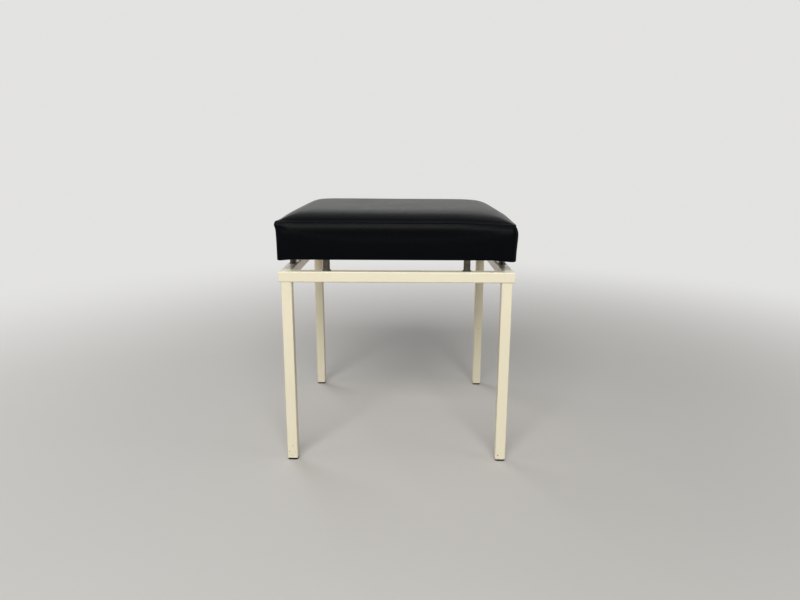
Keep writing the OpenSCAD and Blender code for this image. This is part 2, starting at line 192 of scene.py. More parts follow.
class EffectGroups:
    """Shader node groups of the shared effects, each built once.

    Attributes:
        FLAT: Agreement of the rounded and the true normal at which a place counts as flat.
        SHARP: Agreement at which it counts as a full edge.
        WEAR_START: Noise above which an edge is worn where the amount is 0.
        WEAR_RANGE: How much less noise is enough where the amount is 1.
        WEAR_CONTRAST: How steeply an edge goes from whole to worn.
        DUST_SLOPE: Upward part of the normal at which dust begins to lie.
        DUST_CLOUDS: Noise at which dust is thinnest, and at which it is thickest.
        LEAST_DUST: Share of the dust that lies where it is thinnest.
        LINE_MIDDLE: Noise at the middle of a scratch.
        LINE_WIDTH: Width of a scratch as a share of the noise's range.
        PATCH_SCALE: Patches of scratches for each metre.
        PATCH_EDGE: Noise at which a patch begins, and at which it is full.
    """

    FLAT = 0.995
    SHARP = 0.85
    WEAR_START = 0.85
    WEAR_RANGE = 0.5
    WEAR_CONTRAST = 14.0
    DUST_SLOPE = 0.3
    DUST_CLOUDS = (0.35, 0.75)
    LEAST_DUST = 0.2
    LINE_MIDDLE = 0.5
    LINE_WIDTH = 0.012
    PATCH_SCALE = 14.0
    PATCH_EDGE = (0.5, 0.68)

    def __init__(self) -> None:
        """Starts with no group built."""
        self.built: dict[Effect, Tree] = {}

    def place(self, wiring: Wiring, effect: Effect, inputs: dict) -> Node:
        """Adds one effect to a material.

        Args:
            wiring: The material's wiring.
            effect: The effect.
            inputs: Values or sockets for its group's inputs.

        Returns:
            The group node.
        """
        if effect not in self.built:
            makers = {
                Effect.EDGE_WEAR: self.edge_wear,
                Effect.SETTLED_DUST: self.settled_dust,
                Effect.SCUFFS: self.scuffs,
            }
            self.built[effect] = makers[effect]()
        node = wiring.add("ShaderNodeGroup")
        node.node_tree = self.built[effect]
        for key, value in inputs.items():
            wiring.feed(node.inputs[key], value)
        return node

    @staticmethod
    def start(effect: Effect, inputs: dict[str, float]) -> tuple[Wiring, Sockets, Socket]:
        """Makes an empty group with one mask output.

        Args:
            effect: Effect of the group.
            inputs: Default of each float input.

        Returns:
            The group's wiring, the sockets of its inputs, and the one that takes the mask.
        """
        tree = bpy.data.node_groups.new(effect.value, "ShaderNodeTree")
        tree.interface.new_socket("Place", in_out="INPUT", socket_type="NodeSocketVector")
        for key, value in inputs.items():
            socket = tree.interface.new_socket(key, in_out="INPUT", socket_type="NodeSocketFloat")
            socket.default_value = value
        tree.interface.new_socket("Mask", in_out="OUTPUT", socket_type="NodeSocketFloat")
        wiring = Wiring(tree)
        given = wiring.add("NodeGroupInput").outputs
        return wiring, given, wiring.add("NodeGroupOutput").inputs["Mask"]

    def edge_wear(self) -> Tree:
        """Builds the mask of worn edges: where a rounded normal leaves the true one, in patches.

        Returns:
            The group.
        """
        inputs = {"Width": MM, "Breakup": 120.0, "Amount": 0.5}
        wiring, given, result = self.start(Effect.EDGE_WEAR, inputs)
        bevel = wiring.add("ShaderNodeBevel", {"Radius": given["Width"]}, samples=4)
        shape = wiring.add("ShaderNodeNewGeometry")
        dot = wiring.vector("DOT_PRODUCT", bevel.outputs[0], shape.outputs["Normal"])
        edge = wiring.span(dot.outputs["Value"], self.FLAT, self.SHARP, 0.0, 1.0)
        patches = wiring.noise(given["Place"], given["Breakup"], detail=5.0)
        less = wiring.times(given["Amount"], self.WEAR_RANGE)
        limit = wiring.minus(self.WEAR_START, less)
        above = wiring.minus(patches, limit)
        worn = wiring.math("MULTIPLY", above, self.WEAR_CONTRAST, clamp=True)
        wiring.feed(result, wiring.times(edge, worn))
        return wiring.tree

    def settled_dust(self) -> Tree:
        """Builds the mask of dust: on faces that look up, in soft patches.

        Returns:
            The group.
        """
        wiring, given, result = self.start(Effect.SETTLED_DUST, {"Scale": 30.0, "Amount": 0.3})
        shape = wiring.add("ShaderNodeNewGeometry")
        parts = wiring.add("ShaderNodeSeparateXYZ", {0: shape.outputs["Normal"]})
        upward = wiring.span(parts.outputs["Z"], self.DUST_SLOPE, 1.0, 0.0, 1.0)
        patches = wiring.noise(given["Place"], given["Scale"], detail=6.0)
        cloudy = wiring.span(patches, *self.DUST_CLOUDS, self.LEAST_DUST, 1.0)
        lying = wiring.times(upward, cloudy)
        wiring.feed(result, wiring.times(lying, given["Amount"]))
        return wiring.tree

    def scuffs(self) -> Tree:
        """Builds the mask of fine scratches and specks: thin bands of a stretched noise.

        Returns:
            The group.
        """
        inputs = {"Scale": 60.0, "Stretch": 8.0, "Amount": 0.3}
        wiring, given, result = self.start(Effect.SCUFFS, inputs)
        stretch = wiring.add("ShaderNodeCombineXYZ", {"X": 1.0, "Y": 1.0})
        wiring.feed(stretch.inputs["Z"], given["Stretch"])
        scaled = wiring.vector("MULTIPLY", given["Place"], stretch.outputs[0])
        noise = {"Vector": scaled.outputs[0], "Scale": given["Scale"], "Detail": 8.0, "Distortion": 1.2}
        lines = wiring.add("ShaderNodeTexNoise", noise)
        band = wiring.math("ABSOLUTE", wiring.minus(lines.outputs[0], self.LINE_MIDDLE))
        thin = wiring.span(band, 0.0, self.LINE_WIDTH, 1.0, 0.0)
        where = wiring.noise(given["Place"], self.PATCH_SCALE, detail=2.0)
        patch = wiring.span(where, *self.PATCH_EDGE, 0.0, 1.0)
        mask = wiring.times(wiring.times(thin, patch), given["Amount"])
        wiring.feed(result, mask)
        return wiring.tree


EFFECTS = EffectGroups()


@dataclass(frozen=True)
class Cloud:
    """A noise pattern, and the two of its values that a finish draws apart.

    Attributes:
        scale: Cells for each metre.
        detail: Octaves.
        rough: Strength of the finer octaves.
        low: Value at which the finish begins to change.
        high: Value at which it has changed fully.
    """

    scale: float
    detail: float = 3.0
    rough: float = 0.5
    low: float = 0.3
    high: float = 0.7


class Surface:
    """One material under construction: its Principled shader, its coordinates and its wiring."""

    def __init__(self, name: str) -> None:
        """Makes the empty material.

        Args:
            name: Name of the material.
        """
        self.material = bpy.data.materials.new(name)
        self.material.use_nodes = True
        self.wiring = Wiring(self.material.node_tree)
        self.shader = self.material.node_tree.nodes["Principled BSDF"]
        self.place = self.wiring.add("ShaderNodeTexCoord").outputs["Object"]

    def put(self, name: str, value: object) -> None:
        """Feeds one socket of the shader with a value, a colour or a source socket."""
        self.wiring.feed(self.shader.inputs[name], rgba(value) if isinstance(value, tuple) else value)

    def relief(self, height: Socket, depth: float, strength: float = 1.0) -> None:
        """Gives the surface its relief: a height from 0 to 1 over a real depth in metres."""
        inputs = {"Height": height, "Distance": depth, "Strength": strength}
        self.put("Normal", self.wiring.add("ShaderNodeBump", inputs).outputs[0])

    def noise(self, cloud: Cloud) -> Socket:
        """Adds a noise pattern as it is."""
        return self.wiring.noise(self.place, cloud.scale, cloud.detail, cloud.rough)

    def cloud(self, cloud: Cloud, start: float, end: float) -> Socket:
        """Adds a noise pattern that goes from a start to an end."""
        return self.wiring.span(self.noise(cloud), cloud.low, cloud.high, start, end)

    def effect(self, effect: Effect, **inputs: float) -> Socket:
        """Adds one shared effect, with its group's inputs in lower case, and returns its mask."""
        values = {key.capitalize(): value for key, value in inputs.items()}
        return EFFECTS.place(self.wiring, effect, {"Place": self.place, **values}).outputs["Mask"]


@dataclass(frozen=True)
class Chip:
    """A small place where the enamel is knocked off, as the photo shows it."""

    at: Point
    radius: float


@dataclass(frozen=True)
class Enamel:
    """Cream stove enamel: glossy, faintly uneven, chipped here and there down to grey steel."""

    colour: Colour = (0.84, 0.80, 0.635)
    shade: Colour = (0.81, 0.765, 0.60)
    steel: Colour = (0.30, 0.27, 0.23)
    grime: Colour = (0.30, 0.24, 0.17)
    clouds: Cloud = Cloud(9.0, low=0.35)
    cloud_share: float = 0.55
    grime_height: float = 30 * MM
    grime_patches: Cloud = Cloud(160.0, 6.0, 0.65, low=0.48, high=0.72)
    grime_share: float = 0.3
    gloss: Cloud = Cloud(55.0, 4.0)
    smoothest: float = 0.31
    roughest: float = 0.38
    coat: float = 0.3
    coat_roughness: float = 0.06
    specular: float = 0.36
    bare_metal: float = 0.6
    bare_roughness: float = 0.2
    peel: Cloud = Cloud(420.0, 2.0)
    peel_share: float = 0.25
    chip_depth: float = 0.12 * MM
    ragged: Cloud = Cloud(900.0, 4.0, 0.7)
    ragged_reach: float = 2.6 * MM
    chip_soft: float = 1.5 * MM
    chip_hard: float = 1.1 * MM
    chips: tuple[Chip, ...] = (
        Chip((-0.2016, -0.209, 0.0368), 0.5 * MM),
        Chip((-0.1898, -0.209, 0.0311), 0.6 * MM),
        Chip((-0.1914, -0.209, 0.0276), 0.7 * MM),
        Chip((-0.1979, -0.209, 0.0167), 0.9 * MM),
        Chip((-0.1871, -0.209, 0.0166), 0.5 * MM),
        Chip((0.1880, -0.209, 0.0116), 1.3 * MM),
        Chip((0.2006, -0.209, 0.0237), 0.4 * MM),
        Chip((0.1925, 0.1900, 0.1450), 0.8 * MM),
    )

    def material(self) -> Material:
        """Builds the material.

        Returns:
            The material.
        """
        surface = Surface(Slot.ENAMEL.value)
        wiring = surface.wiring
        cloud = surface.cloud(self.clouds, 0.0, self.cloud_share)
        colour = wiring.blend(cloud, self.colour, self.shade)
        height = wiring.add("ShaderNodeSeparateXYZ", {0: surface.place}).outputs["Z"]
        low = wiring.span(height, self.grime_height, 0.0, 0.0, 1.0)
        patchy = surface.cloud(self.grime_patches, 0.0, self.grime_share)
        colour = wiring.blend(wiring.times(low, patchy), colour, self.grime)
        scuffs = surface.effect(Effect.SCUFFS, scale=45.0, stretch=0.25, amount=0.10)
        colour = wiring.blend(scuffs, colour, self.grime)
        bare = self.bare(surface)
        surface.put("Base Color", wiring.blend(bare, colour, self.steel))
        surface.put("Metallic", wiring.times(bare, self.bare_metal))
        gloss = surface.cloud(self.gloss, self.smoothest, self.roughest)
        rougher = wiring.times(bare, self.bare_roughness)
        surface.put("Roughness", wiring.plus(gloss, rougher))
        uncoated = wiring.times(bare, self.coat)
        surface.put("Coat Weight", wiring.minus(self.coat, uncoated))
        surface.put("Coat Roughness", self.coat_roughness)
        surface.put("Specular IOR Level", self.specular)
        peel = wiring.times(surface.noise(self.peel), self.peel_share)
        surface.relief(wiring.minus(peel, bare), self.chip_depth, strength=0.7)
        return surface.material

    def bare(self, surface: Surface) -> Socket:
        """Works out where the steel shows: the listed chips and a few worn edges.

        Args:
            surface: The material.

        Returns:
            The mask's socket.
        """
        wiring = surface.wiring
        mask = surface.effect(Effect.EDGE_WEAR, width=1.0 * MM, breakup=210.0, amount=0.22)
        ragged = wiring.times(surface.noise(self.ragged), self.ragged_reach)
        for chip in self.chips:
            away = wiring.vector("DISTANCE", surface.place, chip.at)
            reach = wiring.plus(away.outputs["Value"], ragged)
            outside = chip.radius + self.chip_soft
            inside = chip.radius + self.chip_hard
            mask = wiring.math("MAXIMUM", mask, wiring.span(reach, outside, inside, 0.0, 1.0))
        return mask


@dataclass(frozen=True)
class Leatherette:
    """Black coated upholstery cloth: a fine pebbled grain with soft gloss and faint rubbing."""

    colour: Colour = (0.0006, 0.0011, 0.0022)
    rubbed: Colour = (0.0020, 0.0026, 0.0038)
    dust: Colour = (0.10, 0.10, 0.095)
    grain: float = 1150.0
    grain_depth: float = 0.05 * MM
    drift: Cloud = Cloud(260.0, 2.0)
    drift_reach: float = 1.2 * MM
    valley: float = 0.28
    rubbing: Cloud = Cloud(7.0, 4.0, low=0.45, high=0.72)
    rub_share: float = 0.5
    gloss: Cloud = Cloud(11.0)
    smoothest: float = 0.258
    roughest: float = 0.282
    valley_roughness: float = 0.14
    specular: float = 0.055
    undulation: Cloud = Cloud(75.0)
    undulation_share: float = 0.7

    def material(self) -> Material:
        """Builds the material.

        Returns:
            The material.
        """
        surface = Surface(Slot.LEATHERETTE.value)
        wiring = surface.wiring
        drift = surface.noise(self.drift).node
        nudge = wiring.add("ShaderNodeVectorMath", {0: drift.outputs[1]}, operation="SCALE")
        wiring.feed(nudge.inputs["Scale"], self.drift_reach)
        place = wiring.vector("ADD", surface.place, nudge.outputs[0]).outputs[0]
        grain = {"Vector": place, "Scale": self.grain}
        cells = wiring.add("ShaderNodeTexVoronoi", grain, feature="DISTANCE_TO_EDGE")
        pebble = wiring.span(cells.outputs["Distance"], 0.0, self.valley, 0.0, 1.0)
        worn = wiring.times(surface.cloud(self.rubbing, 0.0, 1.0), self.rub_share)
        colour = wiring.blend(worn, self.colour, self.rubbed)
        dust = surface.effect(Effect.SETTLED_DUST, scale=22.0, amount=0.008)
        surface.put("Base Color", wiring.blend(dust, colour, self.dust))
        valley = wiring.times(wiring.minus(1.0, pebble), self.valley_roughness)
        gloss = surface.cloud(self.gloss, self.smoothest, self.roughest)
        surface.put("Roughness", wiring.plus(gloss, valley))
        surface.put("Specular IOR Level", self.specular)
        soft = wiring.times(surface.noise(self.undulation), self.undulation_share)
        surface.relief(wiring.plus(pebble, soft), self.grain_depth, strength=0.75)
        return surface.material


@dataclass(frozen=True)
class Steel:
    """Plated steel: dull bright metal with fine turning lines or cloudy zinc, a little grimed."""

    name: str
    colour: Colour
    stain: Colour
    roughness: float
    line_scale: float = 900.0
    line_stretch: float = 1.0
    bright: Colour = (0.72, 0.71, 0.69)
    bright_share: float = 0.6
    clouds: Cloud = Cloud(130.0, 5.0, 0.6, low=0.38)
    cloud_share: float = 0.7
    cloud_roughness: float = 0.25
    line_roughness: float = 0.1
    line_depth: float = 0.02 * MM

    def material(self) -> Material:
        """Builds the material.

        Returns:
            The material.
        """
        surface = Surface(self.name)
        wiring = surface.wiring
        stretch = (self.line_stretch, self.line_stretch, 1.0)
        squash = wiring.vector("MULTIPLY", surface.place, stretch)
        lines = wiring.noise(squash.outputs[0], self.line_scale, rough=0.6)
        cloud = surface.cloud(self.clouds, 0.0, self.cloud_share)
        wear = surface.effect(Effect.EDGE_WEAR, width=0.4 * MM, breakup=300.0, amount=0.7)
        wear = wiring.times(wear, self.bright_share)
        colour = wiring.blend(cloud, self.colour, self.stain)
        surface.put("Base Color", wiring.blend(wear, colour, self.bright))
        surface.put("Metallic", 1.0)
        clouded = wiring.times(cloud, self.cloud_roughness)
        lined = wiring.times(lines, self.line_roughness)
        rough = wiring.plus(self.roughness, clouded)
        surface.put("Roughness", wiring.plus(rough, lined))
        surface.relief(lines, self.line_depth, strength=0.5)
        return surface.material


@dataclass(frozen=True)
class BlackPlastic:
    """Moulded black plastic: a matt skin with faint scuffs and worn edges."""

    colour: Colour = (0.005, 0.005, 0.0055)
    scuffed: Colour = (0.05, 0.048, 0.045)
    wear_share: float = 0.5
    smoothest: float = 0.5
    roughest: float = 0.66
    specular: float = 0.15
    gloss: Cloud = Cloud(300.0)
    skin: Cloud = Cloud(2400.0, 2.0)
    skin_depth: float = 0.03 * MM

    def material(self) -> Material:
        """Builds the material.

        Returns:
            The material.
        """
        surface = Surface(Slot.PLASTIC.value)
        wiring = surface.wiring
        scuffs = surface.effect(Effect.SCUFFS, scale=160.0, stretch=2.0, amount=0.5)
        wear = surface.effect(Effect.EDGE_WEAR, width=0.6 * MM, breakup=380.0, amount=0.9)
        marks = wiring.math("ADD", scuffs, wiring.times(wear, self.wear_share), clamp=True)
        surface.put("Base Color", wiring.blend(marks, self.colour, self.scuffed))
        surface.put("Roughness", surface.cloud(self.gloss, self.smoothest, self.roughest))
        surface.put("Specular IOR Level", self.specular)
        surface.relief(surface.noise(self.skin), self.skin_depth, strength=0.6)
        return surface.material


@dataclass(frozen=True)
class Plywood:
    """Birch plywood: long grain on the faces, and its plies as bands on the edges."""

    pale: Colour = (0.56, 0.39, 0.215)
    dark: Colour = (0.36, 0.215, 0.10)
    glue: Colour = (0.16, 0.085, 0.04)
    ply: float = 1.5 * MM
    glue_line: float = 0.18 * MM
    cross_ply: tuple[float, float] = (0.3 * MM, 1.2 * MM)
    edge_slope: tuple[float, float] = (0.5, 0.9)
    grain_stretch: float = 0.06
    ring_scale: float = 38.0
    rings: float = 9.0
    ring_share: float = 0.35
    fibre_scale: float = 900.0
    fibre_share: float = 0.4
    fibre_ends: tuple[float, float] = (0.2, 0.8)
    fibre_depth: float = 0.08 * MM
    cross_share: float = 0.6
    smoothest: float = 0.55
    roughest: float = 0.75

    def material(self) -> Material:
        """Builds the material.

        Returns:
            The material.
        """
        surface = Surface(Slot.PLYWOOD.value)
        wiring = surface.wiring
        grain_place = wiring.vector("MULTIPLY", surface.place, (self.grain_stretch, 1.0, 1.0))
        rings = wiring.noise(grain_place.outputs[0], self.ring_scale, detail=5.0, rough=0.55)
        waves = wiring.math("FRACT", wiring.times(rings, self.rings))
        waves = wiring.times(waves, self.ring_share)
        fibres = wiring.noise(grain_place.outputs[0], self.fibre_scale, rough=0.6)
        share = wiring.plus(waves, wiring.times(fibres, self.fibre_share))
        face = wiring.blend(share, self.pale, self.dark)
        height = wiring.add("ShaderNodeSeparateXYZ", {0: surface.place}).outputs["Z"]
        plies = wiring.math("PINGPONG", height, self.ply)
        line = wiring.span(plies, 0.0, self.glue_line, 1.0, 0.0)
        cross = wiring.span(plies, *self.cross_ply, 0.0, self.cross_share)
        normal = wiring.add("ShaderNodeNewGeometry").outputs["Normal"]
        upward = wiring.add("ShaderNodeSeparateXYZ", {0: normal}).outputs["Z"]
        edge = wiring.span(wiring.math("ABSOLUTE", upward), *self.edge_slope, 1.0, 0.0)
        layers = wiring.blend(line, wiring.blend(cross, self.pale, self.dark), self.glue)
        surface.put("Base Color", wiring.blend(edge, face, layers))
        rough = wiring.span(fibres, *self.fibre_ends, self.smoothest, self.roughest)
        surface.put("Roughness", rough)
        surface.relief(fibres, self.fibre_depth, strength=0.6)
        return surface.material


@dataclass(frozen=True)
class Foam:
    """Open-cell upholstery foam, yellowed, with painted shade darkening the hollows of its cells."""

    colour: Colour = (0.70, 0.58, 0.30)
    hollow_shade: Colour = (0.36, 0.27, 0.11)
    cells: float = 700.0
    cell_wall: tuple[float, float] = (0.1, 0.6)
    cell_depth: float = 0.4 * MM
    smoothest: float = 0.8
    roughest: float = 0.95

    def material(self) -> Material:
        """Builds the material.

        Returns:
            The material.
        """
        surface = Surface(Slot.FOAM.value)
        wiring = surface.wiring
        cells = wiring.add("ShaderNodeTexVoronoi", {"Vector": surface.place, "Scale": self.cells})
        depth = wiring.span(cells.outputs["Distance"], *self.cell_wall, 0.0, 1.0)
        # Painted shade: the deeper parts of each cell are darkened.
        surface.put("Base Color", wiring.blend(depth, self.colour, self.hollow_shade))
        surface.put("Roughness", wiring.span(depth, 0.0, 1.0, self.smoothest, self.roughest))
        surface.relief(wiring.minus(1.0, depth), self.cell_depth, strength=0.8)
        return surface.material


@dataclass(frozen=True)
class Thread:
    """Black sewing thread with a slight twist, and a painted sheen on the twist's raised parts."""

    colour: Colour = (0.012, 0.012, 0.013)
    painted_sheen: Colour = (0.035, 0.035, 0.038)
    twist: Cloud = Cloud(3000.0, 1.0)
    twist_depth: float = 0.05 * MM
    smoothest: float = 0.45
    roughest: float = 0.6

    def material(self) -> Material:
        """Builds the material.

        Returns:
            The material.
        """
        surface = Surface("black_thread")
        twist = surface.noise(self.twist)
        # Painted sheen: the raised parts of the twist are lightened.
        surface.put("Base Color", surface.wiring.blend(twist, self.colour, self.painted_sheen))
        surface.put("Roughness", surface.cloud(self.twist, self.smoothest, self.roughest))
        surface.relief(twist, self.twist_depth)
        return surface.material


def linked(name: str, data: bpy.types.ID) -> Piece:
    """Puts a new object into the scene.

    Args:
        name: Its name.
        data: Its mesh, lamp or camera.

    Returns:
        The object.
    """
    piece = bpy.data.objects.new(name, data)
    bpy.context.scene.collection.objects.link(piece)
    return piece


def make_piece(name: str, mesh: Mesh, material: Material, slot: Slot) -> Piece:
    """Turns a mesh into a piece of the object that rides with the frame.

    Args:
        name: Name of the piece.
        mesh: Its mesh.
        material: Its finish.
        slot: The record's slot that the finish belongs to; not used.

    Returns:
        The new object.
    """
    mesh.materials.clear()
    mesh.materials.append(material)
    piece = linked(name, mesh)
    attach(piece, BODY)
    LOG.info("%s: %d faces", name, len(mesh.polygons))
    return piece


def mesh_from(name: str, points: np.ndarray, faces: Faces, smooth: bool = True) -> Mesh:
    """Makes a mesh from points and faces.

    Args:
        name: Name of the mesh.
        points: Points, one row each.
        faces: Faces as point numbers.
        smooth: Whether its faces are shaded smooth.

    Returns:
        The mesh.
    """
    mesh = bpy.data.meshes.new(name)
    mesh.from_pydata([tuple(p) for p in points], [], faces)
    mesh.validate()
    for polygon in mesh.polygons:
        polygon.use_smooth = smooth
    return mesh


def baked(piece: Piece) -> Mesh:
    """Makes a plain copy of an object's mesh with its modifiers applied.

    Args:
        piece: The object.

    Returns:
        The copy.
    """
    graph = bpy.context.evaluated_depsgraph_get()
    graph.update()
    return bpy.data.meshes.new_from_object(piece.evaluated_get(graph), depsgraph=graph)


def settle(piece: Piece) -> None:
    """Applies all of a piece's modifiers to its mesh.

    Args:
        piece: The piece.
    """
    mesh = baked(piece)
    piece.modifiers.clear()
    piece.data = mesh


def vertices_of(mesh: Mesh) -> np.ndarray:
    """Reads a mesh's points.

    Args:
        mesh: The mesh.

    Returns:
        An array with one row for each point.
    """
    points = np.empty(len(mesh.vertices) * 3)
    mesh.vertices.foreach_get("co", points)
    return points.reshape(-1, 3)


def set_vertices(mesh: Mesh, points: np.ndarray) -> None:
    """Moves a mesh's points to new places."""
    mesh.vertices.foreach_set("co", points.ravel())
    mesh.update()


def shade_smooth(mesh: Mesh) -> None:
    """Shades all of a mesh's faces smooth."""
    mesh.polygons.foreach_set("use_smooth", [True] * len(mesh.polygons))


def shade_by_angle(mesh: Mesh, angle: float = math.radians(38)) -> None:
    """Shades a mesh smooth, with crisp edges where faces meet at more than an angle."""
    shade_smooth(mesh)
    mesh.set_sharp_from_angle(angle=angle)


@contextmanager
def opened(mesh: Mesh) -> Iterator[bmesh.types.BMesh]:
    """Opens a mesh for editing, and writes it back afterwards.

    Args:
        mesh: Mesh to edit.

    Yields:
        The mesh in its editable form.
    """
    work = bmesh.new()
    work.from_mesh(mesh)
    yield work
    work.to_mesh(mesh)
    work.free()


def drop_loose(mesh: Mesh) -> None:
    """Deletes the points of a mesh that no face uses."""
    with opened(mesh) as work:
        bmesh.ops.delete(work, geom=[v for v in work.verts if not v.link_faces], context="VERTS")


def geometry_tree(name: str, inputs: dict[str, str]) -> tuple[Wiring, Sockets]:
    """Starts a Geometry Nodes tree with a Geometry input and output.

    Args:
        name: Name of the tree.
        inputs: Type of each further input, by its name.

    Returns:
        The tree's wiring and the sockets of its inputs.
    """
    tree = bpy.data.node_groups.new(name, "GeometryNodeTree")
    tree.interface.new_socket("Geometry", in_out="INPUT", socket_type="NodeSocketGeometry")
    for key, kind in inputs.items():
        tree.interface.new_socket(key, in_out="INPUT", socket_type="NodeSocket" + kind)
    tree.interface.new_socket("Geometry", in_out="OUTPUT", socket_type="NodeSocketGeometry")
    wiring = Wiring(tree)
    return wiring, wiring.add("NodeGroupInput").outputs


def end_tree(wiring: Wiring, instances: Socket, finish: Socket) -> None:
    """Ends a Geometry Nodes tree: instances made real, with their finish.

    Args:
        wiring: The tree's wiring.
        instances: The instances.
        finish: Their material.
    """
    real = wiring.add("GeometryNodeRealizeInstances", {"Geometry": instances})
    dressed = wiring.add("GeometryNodeSetMaterial", {"Geometry": real.outputs[0], "Material": finish})
    wiring.feed(wiring.add("NodeGroupOutput").inputs[0], dressed.outputs[0])


def grown(mesh: Mesh, tree: Tree, inputs: dict) -> Mesh:
    """Runs a Geometry Nodes tree on a mesh.

    Args:
        mesh: The mesh.
        tree: The tree.
        inputs: Values of its inputs, by name.

    Returns:
        The plain mesh that comes out.
    """
    carrier = linked(mesh.name, mesh)
    modifier = carrier.modifiers.new("tree", "NODES")
    modifier.node_group = tree
    for item in tree.interface.items_tree:
        if item.name in inputs:
            modifier[item.identifier] = inputs[item.name]
    result = baked(carrier)
    bpy.data.objects.remove(carrier)
    return result


def solid_points(node: str) -> list[np.ndarray]:
    """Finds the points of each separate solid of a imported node.

    Args:
        node: Name of the node.

    Returns:
        One array of points for each solid, in a steady order.
    """
    work = bmesh.new()
    work.from_mesh(FRAME["nodes"][node].data)
    bmesh.ops.remove_doubles(work, verts=work.verts, dist=SAME_PLACE)
    left = set(work.verts)
    solids = []
    while left:
        group = [left.pop()]
        for vert in group:
            for edge in vert.link_edges:
                other = edge.other_vert(vert)
                if other in left:
                    left.discard(other)
                    group.append(other)
        solids.append(np.array([vert.co for vert in group]))
    work.free()
    return sorted(solids, key=lambda points: tuple(points.min(0).round(4)))


def solids_of(node: str) -> list[Box]:
    """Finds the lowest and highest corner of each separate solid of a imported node."""
    return [(Vector(points.min(0)), Vector(points.max(0))) for points in solid_points(node)]


def undersides(boxes: list[Box]) -> list[Vector]:
    """Returns the middle of the underside of each box."""
    return [Vector(((low.x + high.x) / 2, (low.y + high.y) / 2, low.z)) for low, high in boxes]


def quarter_arc(radius: float, steps: int) -> list[tuple[float, float]]:
    """Returns the points of an edge's rounding, as distances from its first and its second face."""
    angles = [0.5 * math.pi * step / steps for step in range(steps + 1)]
    return [(radius * (1.0 - math.cos(angle)), radius * (1.0 - math.sin(angle))) for angle in angles]


def rounded_square(half: float, radius: float, steps: int = 6) -> list[tuple[float, float]]:
    """Draws a square with rounded corners, anticlockwise.

    Args:
        half: Half of its side.
        radius: Radius of its corners.
        steps: Steps round each corner.

    Returns:
        Its points.
    """
    points = []
    for corner in range(4):
        centre = 0.25 * math.pi + 0.5 * math.pi * corner
        middle_x = math.copysign(half - radius, math.cos(centre))
        middle_y = math.copysign(half - radius, math.sin(centre))
        for step in range(steps + 1):
            angle = 0.5 * math.pi * (corner + step / steps)
            points.append((middle_x + radius * math.cos(angle), middle_y + radius * math.sin(angle)))
    return points


def lofted(name: str, levels: list[tuple[float, float, float]]) -> Mesh:
    """Makes a closed solid through rounded squares at several heights.

    Args:
        name: Name of the mesh.
        levels: Height, half side and corner radius of each square, from the bottom up.

    Returns:
        The mesh, standing on its own origin.
    """
    points = []
    for height, half, radius in levels:
        points += [(x, y, height) for x, y in rounded_square(half, radius)]
    count = len(points) // len(levels)
    faces = [tuple(reversed(range(count)))]
    for level in range(len(levels) - 1):
        start = level * count
        for i in range(count):
            j = (i + 1) % count
            faces.append((start + i, start + j, start + count + j, start + count + i))
    faces.append(tuple(range(len(points) - count, len(points))))
    return mesh_from(name, np.array(points), faces)


@dataclass
class Repeater:
    """Puts one small mesh at many places with a Geometry Nodes tree."""

    unit: Mesh
    material: Material

    def tree(self) -> Tree:
        """Builds the tree: an instance at each point, turned about Z by the point's turn.

        Returns:
            The tree, with the inputs Geometry, Unit and Finish.
        """
        inputs = {"Unit": "Object", "Finish": "Material"}
        wiring, given = geometry_tree("repeat_at_places", inputs)
        points = wiring.add("GeometryNodeMeshToPoints", {"Mesh": given["Geometry"]})
        unit = wiring.add("GeometryNodeObjectInfo", {"Object": given["Unit"]})
        turn = wiring.add("GeometryNodeInputNamedAttribute", {"Name": "turn"}, data_type="FLOAT")
        angle = wiring.add("ShaderNodeCombineXYZ", {"Z": turn.outputs[0]})
        stand = wiring.add("GeometryNodeInstanceOnPoints", {"Points": points.outputs[0]})
        wiring.feed(stand.inputs["Instance"], unit.outputs["Geometry"])
        wiring.feed(stand.inputs["Rotation"], angle.outputs[0])
        end_tree(wiring, stand.outputs[0], given["Finish"])
        return wiring.tree

    def mesh(self, name: str, places: list[Vector], turns: list[float]) -> Mesh:
        """Makes the repeated mesh.

        Args:
            name: Name of the result.
            places: Where each copy stands.
            turns: Turn of each copy about Z, in radians.

        Returns:
            The plain mesh of all the copies.
        """
        carrier = bpy.data.meshes.new(name)
        carrier.from_pydata([tuple(p) for p in places], [], [])
        turn = carrier.attributes.new("turn", "FLOAT", "POINT")
        turn.data.foreach_set("value", turns)
        unit = linked(name + "_unit", self.unit)
        mesh = grown(carrier, self.tree(), {"Unit": unit, "Finish": self.material})
        bpy.data.objects.remove(unit)
        return mesh


